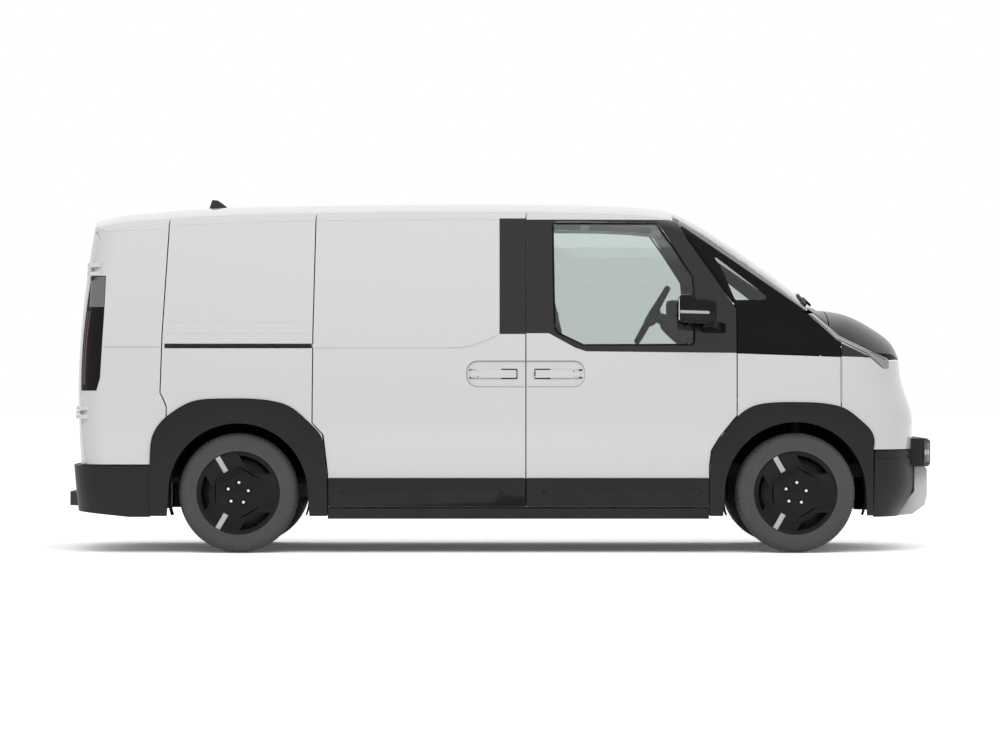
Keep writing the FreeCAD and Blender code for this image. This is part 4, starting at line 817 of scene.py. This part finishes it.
wiper_black = finish_material("wiper_black", (0.008, 0.008, 0.008), (0.014, 0.014, 0.014), 0.45,
                              (500.0, 0.2, 0.0003), (0.6, 0.02), shine=0.3)
screen_tree = surface_tree("fixed_glass", "cowl")
for number, (start, stop, spindle) in enumerate(((-0.10, -0.68, -0.02), (0.55, -0.06, 0.63))):
    blade_path = [screen_point(start + (stop - start) * n / 14, 1.655 - 0.02 * math.sin(n / 14 * math.pi),
                               0.011) for n in range(15)]
    reach = blade_path[7][1] - spindle
    arm_path = [(1.712, spindle, 1.322), (1.712, spindle, 1.345)]
    arm_path += [screen_point(spindle + reach * n / 6, 1.700 - 0.0065 * n, 0.020) for n in range(1, 7)]
    arm_radii = (0.013, 0.012, 0.011, 0.009, 0.008, 0.007, 0.007, 0.006)
    add_piece("wiper_blade_%d" % number, tube_mesh(blade_path, 0.0065, 8, 1.5), "body", wiper_black)
    add_piece("wiper_arm_%d" % number, tube_mesh(arm_path, arm_radii, 10, 0.7), "body", wiper_black)


# Tail lamps: smoked covers over the rear corners, with a pale grey reversing lens above and red light
# guides along the edge beside the doors.
smoked = finish_material("smoked_lens", (0.006, 0.005, 0.005), (0.009, 0.007, 0.007), 0.06,
                         (300.0, 0.02, 0.0001), (0.6, 0.0), uneven=0.02, shine=0.12)
dress(["tail_lamps"], smoked)
lamp_tree = surface_tree("tail_lamps")
grey_lens = finish_material("grey_lens", (0.13, 0.13, 0.13), (0.16, 0.16, 0.16), 0.12,
                            (90.0, 0.2, 0.0004), (0.6, 0.02), coat=0.3, uneven=0.03)
upper_lens = laid_mesh(lamp_tree, [(-2.215, 1.322), (-2.130, 1.322)],
                       [(-2.205, 1.484), (-2.126, 1.486)], 18, 8, (0.0008,), 0.002)
add_pair("upper_lens", upper_lens, "body", grey_lens)
red_lens = finish_material("red_lens", (0.075, 0.003, 0.003), (0.10, 0.005, 0.004), 0.10,
                           (120.0, 0.3, 0.0005), (0.6, 0.02), coat=0.5, uneven=0.03)
for number, (inner, outer) in enumerate(((-0.862, -0.867), (-0.876, -0.881))):
    guide = laid_mesh(lamp_tree, [(inner, 0.905), (outer, 0.905)],
                      [(inner + 0.020, 1.300), (outer + 0.020, 1.300)], 2, 30, (0.0015,), 0.002, side='x')
    add_pair("light_guide_%d" % number, guide, "body", red_lens)


# Front lamps: a gloss black plate on each sloped end of the guard, with two round projectors in it.
def sloped_plate(near, far, low, high, out, thick):
    """Upright plate on the guard's sloped end, from near to far, which lies further out to the right."""
    a, b = Vector((*near, 0.0)), Vector((*far, 0.0))
    way = (b - a).normalized()
    normal = Vector((-way.y, way.x, 0.0))
    rings = []
    for depth in (out - thick, out - 0.001, out):
        inset = 0.003 if depth == out else 0.0
        p, q = a + way * inset + normal * depth, b - way * inset + normal * depth
        rings.append([(p.x, p.y, low + inset), (q.x, q.y, low + inset), (q.x, q.y, high - inset),
                      (p.x, p.y, high - inset)])
    return lofted_mesh(rings)


lamp_near, lamp_far = Vector((2.3385, -0.487)), Vector((2.3045, -0.5515))
lamp_turn = math.radians(62.2)
lamp_middle_height = 0.535
add_pair("lamp_bezel", sloped_plate(lamp_near, lamp_far, 0.482, 0.588, 0.0025, 0.02), "body", black_gloss)
projector = turned_mesh([(0.0, -0.0062), (0.006, -0.0058), (0.011, -0.0045), (0.0135, -0.0025),
                         (0.0155, -0.0035), (0.0165, -0.001), (0.0165, 0.004), (0.0, 0.004)], 32)
for number, share in enumerate((0.27, 0.73)):
    middle = Matrix.Translation((*lamp_near.lerp(lamp_far, share), lamp_middle_height))
    add_pair("projector_%d" % number, moved(projector, middle @ Matrix.Rotation(lamp_turn, 4, 'Z')), "body",
             lamp_white)


# Number plates: pressed aluminium, painted white and left blank, each on a black plastic holder that is
# screwed to the skid plate in front and to the left rear door behind.
def oblong(low_a, high_a, low_b, high_b):
    return ((low_a, low_b), (high_a, low_b), (high_a, high_b), (low_a, high_b))


plate_white = finish_material("plate_white", (0.62, 0.62, 0.61), (0.66, 0.66, 0.65), 0.35,
                              (600.0, 0.2, 0.0002), (0.6, 0.05))
holder = slab_mesh(oblong(-0.267, 0.267, 0.318, 0.438), 2.328, 2.335, 'x')
add_piece("front_plate_holder", holder, "body", cladding)
front_plate = slab_mesh(oblong(-0.260, 0.260, 0.323, 0.433), 2.334, 2.3365, 'x')
add_piece("front_plate", front_plate, "body", plate_white)
door_tree = surface_tree("rear_door_left")
holder = laid_oblong(door_tree, 0.123, 0.657, 0.566, 0.686, 20, 4, (0.005,), 0.002)
add_piece("rear_plate_holder", holder, "rear_door_left", cladding)
rear_plate = laid_oblong(door_tree, 0.130, 0.650, 0.571, 0.681, 20, 4, (0.0075,), -0.004)
add_piece("rear_plate", rear_plate, "rear_door_left", plate_white)

# Rear door handle and high brake lamp: a black pull handle in a moulded surround on the right-hand
# door, and a narrow red lamp let into the rear edge of the roof.
door_tree = surface_tree("rear_door_right")
surround = laid_oblong(door_tree, -0.030, -0.235, 1.000, 1.075, 16, 4, (0.001, 0.004, 0.005, 0.004, 0.001),
                       0.002)
add_piece("rear_handle_surround", surround, "rear_door_right", cladding)
pull = laid_oblong(door_tree, -0.045, -0.220, 1.022, 1.052, 16, 4, (0.008, 0.015, 0.017, 0.015, 0.008),
                   -0.003)
add_piece("rear_pull", pull, "rear_door_right", black_gloss)
high_lamp = laid_oblong(surface_tree("roof_panel"), -0.170, 0.170, 1.742, 1.756, 24, 3,
                        (0.001, 0.003, 0.003, 0.001), 0.002)
add_piece("high_brake_lamp", high_lamp, "body", red_lens)


# Steering wheel: a foam-covered rim with thumb grips on a three-spoke frame, a padded airbag cover and
# switch pads, splined to the column.
def on_column(name, mesh, finish, edge=0.0):
    """A piece written in the steering wheel's own plane, set on the column."""
    mesh.transform(column_place)
    return add_piece(name, mesh, "steering_wheel", finish, edge)


column_joint = next(joint for joint in frame["joints"] if joint["name"] == "steering_wheel_turn")
column_up = -Vector(column_joint["axis"]).normalized()
column_side = Vector((0.0, 1.0, 0.0))
column_turn = Matrix((column_side, column_up.cross(column_side), column_up)).transposed().to_4x4()
column_place = Matrix.Translation(Vector(column_joint["pos_m"])) @ column_turn
grip_foam = finish_material("grip_foam", (0.007, 0.007, 0.0075), (0.011, 0.011, 0.0115), 0.6,
                            (1400.0, 0.35, 0.0003), (0.4, 0.0), shine=0.2)
rim_radius = 0.172
rim_rings = []
for n in range(96):
    turn = n / 96 * math.tau
    thumb = max(math.exp(-((math.sin(turn) - side) / 0.16) ** 2) if math.cos(turn) * hand > 0 else 0.0
                for side in (0.30, -0.12) for hand in (1.0, -1.0))
    width = 0.0150 + 0.0018 * thumb
    ring = []
    for t in (k / 14 * math.tau for k in range(14)):
        r = rim_radius + width * math.cos(t)
        ring.append((r * math.cos(turn), r * math.sin(turn), width * 1.12 * math.sin(t)))
    rim_rings.append(ring)
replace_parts(on_column("steering_rim", hoop_mesh(rim_rings), grip_foam), "steering_wheel")
pad_outline = ((-0.062, -0.050), (-0.040, -0.066), (0.040, -0.066), (0.062, -0.050), (0.074, 0.010),
               (0.066, 0.040), (0.040, 0.050), (-0.040, 0.050), (-0.066, 0.040), (-0.074, 0.010))
pad_levels = ((0.55, 0.040), (0.85, 0.030), (0.98, 0.008), (1.0, -0.008), (0.93, -0.018), (0.70, -0.0235))
airbag_pad = lofted_mesh([[(x * scale, y * scale, z) for x, y in pad_outline] for scale, z in pad_levels])
on_column("airbag_pad", airbag_pad, grip_foam, 0.004)
for name, reach, across in (("left_spoke", -1.0, False), ("right_spoke", 1.0, False),
                            ("low_spoke", -1.0, True)):
    rings = []
    for r, half, depth in ((0.055, 0.026, 0.012), (0.095, 0.020, 0.009), (0.135, 0.017, 0.008),
                           (0.166, 0.020, 0.007)):
        section = ((-half, -depth), (half, -depth), (half * 0.8, depth), (-half * 0.8, depth))
        rings.append([(a, reach * r, b) if across else (reach * r, a, b) for a, b in section])
    on_column(name, lofted_mesh(rings), grip_foam, 0.003)
switch_outline = ((0.082, -0.014), (0.126, -0.012), (0.130, 0.006), (0.118, 0.016), (0.082, 0.018))
for name, reach in (("left_switches", -1.0), ("right_switches", 1.0)):
    pad = slab_mesh([(reach * x, y) for x, y in switch_outline], -0.0135, -0.006, 'z')
    on_column(name, pad, black_gloss, 0.002)

# Dashboard: moulded black plastic over the cross beam, with a driver's display behind the wheel, a wide
# middle screen, slatted vents, a column stalk each side and two pedals hung below.
screen_glass = finish_material("screen_glass", (0.004, 0.005, 0.007), (0.006, 0.007, 0.009), 0.05,
                               (200.0, 0.01, 0.0001), (0.4, 0.0), uneven=0.01, shine=0.4)


def tilted_slab(name, centre, half_y, half_z, thick, lean, finish, edge):
    """Upright plate facing the seats, leaning forward at the top by lean degrees."""
    mesh = slab_mesh(oblong(-half_y, half_y, -half_z, half_z), -thick / 2.0, thick / 2.0, 'x')
    mesh.transform(Matrix.Translation(centre) @ Matrix.Rotation(math.radians(lean), 4, 'Y'))
    add_piece(name, mesh, "body", finish, edge)


driver_y = 0.400
tilted_slab("middle_screen_frame", (1.050, 0.045, 1.255), 0.165, 0.098, 0.016, 12.0, cabin_plastic, 0.005)
tilted_slab("middle_screen", (1.0415, 0.045, 1.2565), 0.158, 0.091, 0.003, 12.0, screen_glass, 0.001)
tilted_slab("driver_display", (1.078, driver_y, 1.262), 0.120, 0.050, 0.010, 14.0, screen_glass, 0.003)
shroud_outline = ((-1.0, -0.6), (-0.7, -1.0), (0.7, -1.0), (1.0, -0.6), (1.0, 0.5), (0.65, 1.0), (-0.65, 1.0),
                  (-1.0, 0.5))
column_line = ((0.855, 0.868), (1.294, -0.497))
shroud_rings = []
for along_column, half_y, rise, fall in ((0.052, 0.040, 0.030, 0.040), (0.062, 0.052, 0.042, 0.052),
                                         (0.110, 0.060, 0.048, 0.070), (0.170, 0.064, 0.046, 0.086),
                                         (0.205, 0.066, 0.040, 0.090)):
    x, z = (start + slope * along_column for start, slope in column_line)
    shroud_rings.append([(x, driver_y + half_y * a, z + (rise if b > 0 else fall) * b)
                         for a, b in shroud_outline])
add_piece("column_shroud", lofted_mesh(shroud_rings), "body", cabin_plastic, 0.006)
lowest_slat = 1.063
slat_step = 0.0145
for number, (y, half) in enumerate(((-0.66, 0.075), (-0.19, 0.060), (0.66, 0.075))):
    tilted_slab("vent_frame_%d" % number, (1.056, y, 1.085), half, 0.034, 0.012, 14.0, black_gloss, 0.003)
    for k in range(4):
        z = lowest_slat + slat_step * k
        slat = slab_mesh(oblong(1.043, 1.060, y - half + 0.008, y + half - 0.008), z, z + 0.0025, 'z')
        add_piece("vent_slat_%d_%d" % (number, k), slat, "body", cabin_plastic, 0.0008)
stalk_line = ((0.935, 0.020, 1.252), (0.925, 0.070, 1.262), (0.910, 0.120, 1.270), (0.905, 0.150, 1.272))
for name, side in (("turn_stalk", 1.0), ("wash_stalk", -1.0)):
    stalk_path = [(x, driver_y + side * out, z) for x, out, z in stalk_line]
    add_piece(name, tube_mesh(stalk_path, (0.008, 0.007, 0.008, 0.009), 10, 0.7), "body", cabin_plastic)
for name, y, half, low in (("brake_pedal", driver_y, 0.045, 0.600), ("drive_pedal", 0.520, 0.028, 0.570)):
    tilted_slab(name, (1.300, y, low + 0.045), half, 0.045, 0.010, 35.0, bright_steel, 0.003)
    arm_path = [(1.300, y, low + 0.05), (1.330, y, low + 0.15), (1.345, y, low + 0.28), (1.340, y, 0.90)]
    add_piece(name + "_arm", tube_mesh(arm_path, 0.008, 8), "body", chassis_black)


# Seats: charcoal woven cloth over moulded foam, sewn with cross channels and raised side rolls, each on
# its plastic base with a head restraint on two plated posts.
def make_weave():
    """Two crossed sets of threads: a mask of where the threads rise, and a bumped normal."""
    group, entry, leave, place = new_group("cloth_weave", {"Pitch": 260.0, "Strength": 0.4},
                                           {"Threads": "Float", "Normal": "Vector"})
    along_y, slanting = (shader_node(group, "TexWave", {"bands_direction": direction}, {"Distortion": 0.6},
                                     {"Vector": place, "Scale": entry["Pitch"]}).outputs["Fac"]
                         for direction in ('Y', 'DIAGONAL'))
    cross = shader_node(group, "Math", {"operation": 'MAXIMUM'}, sources={0: along_y, 1: slanting}).outputs[0]
    bump = shader_node(group, "Bump", values={"Distance": 0.0006},
                       sources={"Height": cross, "Strength": entry["Strength"]})
    feed(group, leave, {"Threads": cross, "Normal": bump.outputs["Normal"]})
    return group


cloth_weave = make_weave()


def cloth_material(name, deep, raised, pitch):
    """Woven cloth: dark between its threads and lighter on them."""
    material, tree, surface = new_material(name, {"Roughness": 0.9, "Specular IOR Level": 0.2,
                                                  "Sheen Weight": 0.25})
    weave = shader_node(tree, "Group", {"node_tree": cloth_weave}, {"Pitch": pitch, "Strength": 0.45})
    mix = shader_node(tree, "Mix", {"data_type": 'RGBA'}, {"A": opaque(deep), "B": opaque(raised)},
                      {"Factor": weave.outputs["Threads"]})
    feed(tree, surface, {"Base Color": mix.outputs["Result"], "Normal": weave.outputs["Normal"]})
    return material


seat_cloth = cloth_material("seat_cloth", (0.016, 0.016, 0.018), (0.045, 0.046, 0.050), 300.0)


def roll(t):
    """Rise of the side rolls across a seat, for t from -1 to 1."""
    u = min(max((abs(t) - 0.58) / 0.24, 0.0), 1.0)
    return u * u * (3.0 - 2.0 * u)


def turned_edge(t):
    """Share of the way round the outer edge of a seat, for t from -1 to 1."""
    return max(abs(t) - 0.86, 0.0) / 0.14


across_steps = [-1.0 + 2.0 * n / 18 for n in range(19)]
cushion_foot = 0.712


def cushion_ring(x, top, half):
    points = [(x, half * t, top + 0.026 * roll(t) - 0.030 * turned_edge(t)) for t in across_steps]
    return points + [(x, half * t, cushion_foot) for t in (1.0, 0.5, 0.0, -0.5, -1.0)]


def back_ring(z, front, rear, half):
    points = [(front + 0.030 * roll(t) - 0.034 * turned_edge(t), half * t, z) for t in across_steps]
    return points + [(rear, half * t, z) for t in (0.94, 0.5, 0.0, -0.5, -0.94)]


def squared(value, power):
    """A circle's sine or cosine pushed toward a square's."""
    return math.copysign(abs(value) ** power, value)


def head_ring(z, front, rear, half):
    turns = [n / 16 * math.tau for n in range(16)]
    return [((front + rear) / 2.0 + (front - rear) / 2.0 * squared(math.cos(t), 0.7),
             half * squared(math.sin(t), 0.6), z) for t in turns]


def evaluated_mesh(piece):
    return bpy.data.meshes.new_from_object(piece.evaluated_get(bpy.context.evaluated_depsgraph_get()))


cloth_frames = 20
pad_pressure = 4.0


def stuffed(rings, voxel, cap):
    """Remeshes a pad, blows it up a little as sewn cloth, and holds every point within cap of its start."""
    scene = bpy.context.scene
    form = in_scene("pad_form", lofted_mesh(rings))
    skin = form.modifiers.new("even_skin", 'REMESH')
    skin.mode = 'VOXEL'
    skin.voxel_size = voxel
    mesh = evaluated_mesh(form)
    bpy.data.objects.remove(form)
    pad = in_scene("pad", mesh)
    cloth = pad.modifiers.new("cover", 'CLOTH')
    cloth.settings.quality = 4
    cloth.settings.mass = 0.3
    cloth.settings.use_pressure = True
    cloth.settings.uniform_pressure_force = pad_pressure
    cloth.settings.effector_weights.gravity = 0.0
    cloth.point_cache.frame_start = 1
    cloth.point_cache.frame_end = cloth_frames
    for number in range(1, cloth_frames + 1):
        scene.frame_set(number)
    puffed = evaluated_mesh(pad)
    for start, end in zip(mesh.vertices, puffed.vertices):
        move = end.co - start.co
        if move.length > cap:
            end.co = start.co + move * (cap / move.length)
    scene.frame_set(1)
    bpy.data.objects.remove(pad)
    return puffed


seam_reach = 0.145


def sew(mesh, lines, axis, front_axis, depth=0.007, half=0.014):
    """Presses sewn channels into the pad where its coordinate along axis is near one of the lines."""
    for vertex in mesh.vertices:
        if abs(vertex.co.y) < seam_reach and vertex.normal[front_axis] > 0.5:
            near = min(abs(vertex.co[axis] - line) for line in lines)
            if near < half:
                vertex.co[front_axis] -= depth * (1.0 - near / half) ** 1.4
    mesh.shade_smooth()
    return mesh


cushion_rings = [cushion_ring(*sizes) for sizes in (
    (0.408, 0.758, 0.196), (0.416, 0.776, 0.212), (0.440, 0.784, 0.222), (0.520, 0.782, 0.226),
    (0.620, 0.786, 0.226), (0.720, 0.794, 0.224), (0.790, 0.797, 0.220), (0.822, 0.789, 0.214),
    (0.838, 0.770, 0.198))]
back_rings = [back_ring(*sizes) for sizes in (
    (0.712, 0.376, 0.338, 0.188), (0.726, 0.384, 0.330, 0.206), (0.800, 0.386, 0.304, 0.216),
    (0.900, 0.366, 0.284, 0.218), (1.050, 0.330, 0.254, 0.216), (1.200, 0.300, 0.222, 0.208),
    (1.310, 0.276, 0.199, 0.196), (1.370, 0.262, 0.188, 0.176), (1.396, 0.244, 0.196, 0.150))]
head_rings = [head_ring(*sizes) for sizes in (
    (1.448, 0.216, 0.166, 0.070), (1.454, 0.226, 0.158, 0.100), (1.500, 0.230, 0.150, 0.118),
    (1.560, 0.226, 0.144, 0.120), (1.604, 0.212, 0.146, 0.108), (1.620, 0.196, 0.156, 0.080))]
cushion_pad = sew(stuffed(cushion_rings, 0.009, 0.010), (0.50, 0.57, 0.64, 0.71), 0, 2)
back_pad = sew(stuffed(back_rings, 0.009, 0.010), (0.86, 0.94, 1.02, 1.10, 1.18), 2, 0)
head_pad = sew(stuffed(head_rings, 0.008, 0.006), (1.535,), 2, 0, 0.004)
replaced_pads = {"driver_cushion": "seat_cushions", "driver_backrest": "seat_backs"}
recliner_outline = ((0.300, 0.700), (0.440, 0.700), (0.430, 0.790), (0.380, 0.840), (0.320, 0.830),
                    (0.292, 0.770))
for seat, y in (("driver", driver_y), ("passenger", -driver_y)):
    for part, pad, fill in (("cushion", cushion_pad, 0.7), ("backrest", back_pad, 0.7),
                            ("head_restraint", head_pad, 0.8)):
        mesh = moved(pad, Matrix.Translation((0.0, y, 0.0)))
        mesh.materials.clear()
        piece = add_piece("%s_%s" % (seat, part), mesh, "body", seat_cloth)
        smooth = piece.modifiers.new("smooth", 'SUBSURF')
        smooth.levels = 1
        smooth.render_levels = 1
        if piece.name in replaced_pads:
            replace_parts(piece, replaced_pads[piece.name])
    for number, post_y in enumerate((y - 0.060, y + 0.060)):
        post = tube_mesh([(0.214, post_y, 1.370), (0.204, post_y, 1.430), (0.194, post_y, 1.490)], 0.006, 12)
        add_piece("%s_post_%d" % (seat, number), post, "body", bright_steel)
    recliner = slab_mesh(recliner_outline, y - 0.2445, y - 0.2265, 'y')
    add_piece("%s_recliner" % seat, recliner, "body", cabin_plastic, 0.004)

# Seat belts: woven black webbing from a guide on each middle post down to a reel cover at the floor.
webbing = cloth_material("webbing", (0.010, 0.010, 0.010), (0.022, 0.022, 0.023), 520.0)
belt_line = ((0.205, 0.800, 1.450), (0.210, 0.790, 1.200), (0.216, 0.780, 0.900), (0.222, 0.770, 0.640))
belt_section = oblong(-0.023, 0.023, -0.0008, 0.0008)
reel_outline = ((0.180, 0.500), (0.270, 0.500), (0.270, 0.640), (0.255, 0.665), (0.195, 0.665),
                (0.180, 0.640))
for seat, side in (("driver", 1.0), ("passenger", -1.0)):
    rings = [[(x + a, side * y + b, z) for a, b in belt_section] for x, y, z in belt_line]
    add_piece("%s_belt" % seat, lofted_mesh(rings), "body", webbing)
    reel = slab_mesh(reel_outline, side * 0.775 - 0.030, side * 0.775 + 0.030, 'y')
    add_piece("%s_reel_cover" % seat, reel, "body", cabin_plastic, 0.006)
    guide = slab_mesh(oblong(0.170, 0.240, 1.430, 1.480), side * 0.800 - 0.008, side * 0.800 + 0.008, 'y')
    add_piece("%s_belt_guide" % seat, guide, "body", cabin_plastic, 0.004)

# Door linings: moulded black panels clipped to the inside of each front door, with an armrest and a
# release handle in silver trim.
inner_tree = surface_tree("front_door_right")
from_cabin = {"sign": 1.0, "start": -0.3}
lining_lifts = (0.002, 0.006, 0.008, 0.008, 0.007, 0.006, 0.006, 0.006, 0.008, 0.010, 0.010, 0.008, 0.006,
                0.005, 0.002)
lining = laid_mesh(inner_tree, [(0.225, 0.440), (1.085, 0.440)], [(0.225, 1.040), (1.205, 1.040)], 30, 14,
                   lining_lifts, -0.001, **from_cabin)
add_pair("door_lining", lining, "front_door_*", cabin_plastic)
armrest = laid_mesh(inner_tree, [(0.330, 0.780), (0.900, 0.780)], [(0.330, 0.860), (0.960, 0.880)], 24, 6,
                    (0.012, 0.040, 0.052, 0.055, 0.054, 0.045, 0.012), -0.006, **from_cabin)
add_pair("armrest", armrest, "front_door_*", grip_foam)
release = laid_oblong(inner_tree, 0.900, 1.030, 0.930, 0.960, 12, 4, (0.010, 0.018, 0.020, 0.018, 0.010),
                      -0.008, 'y', **from_cabin)
add_pair("door_release", release, "front_door_*", bar_silver)

# Glass: laminated windscreen, toughened door panes and fixed quarter panes, tinted green-grey.
glass = new_material("glass", {"Metallic": 0.0, "Transmission Weight": 1.0, "IOR": 1.45, "Roughness": 0.0,
                               "Base Color": opaque((0.683, 0.732, 0.720))})[0]
dress(["fixed_glass"] + both_sides("front_door_glass_"), glass)
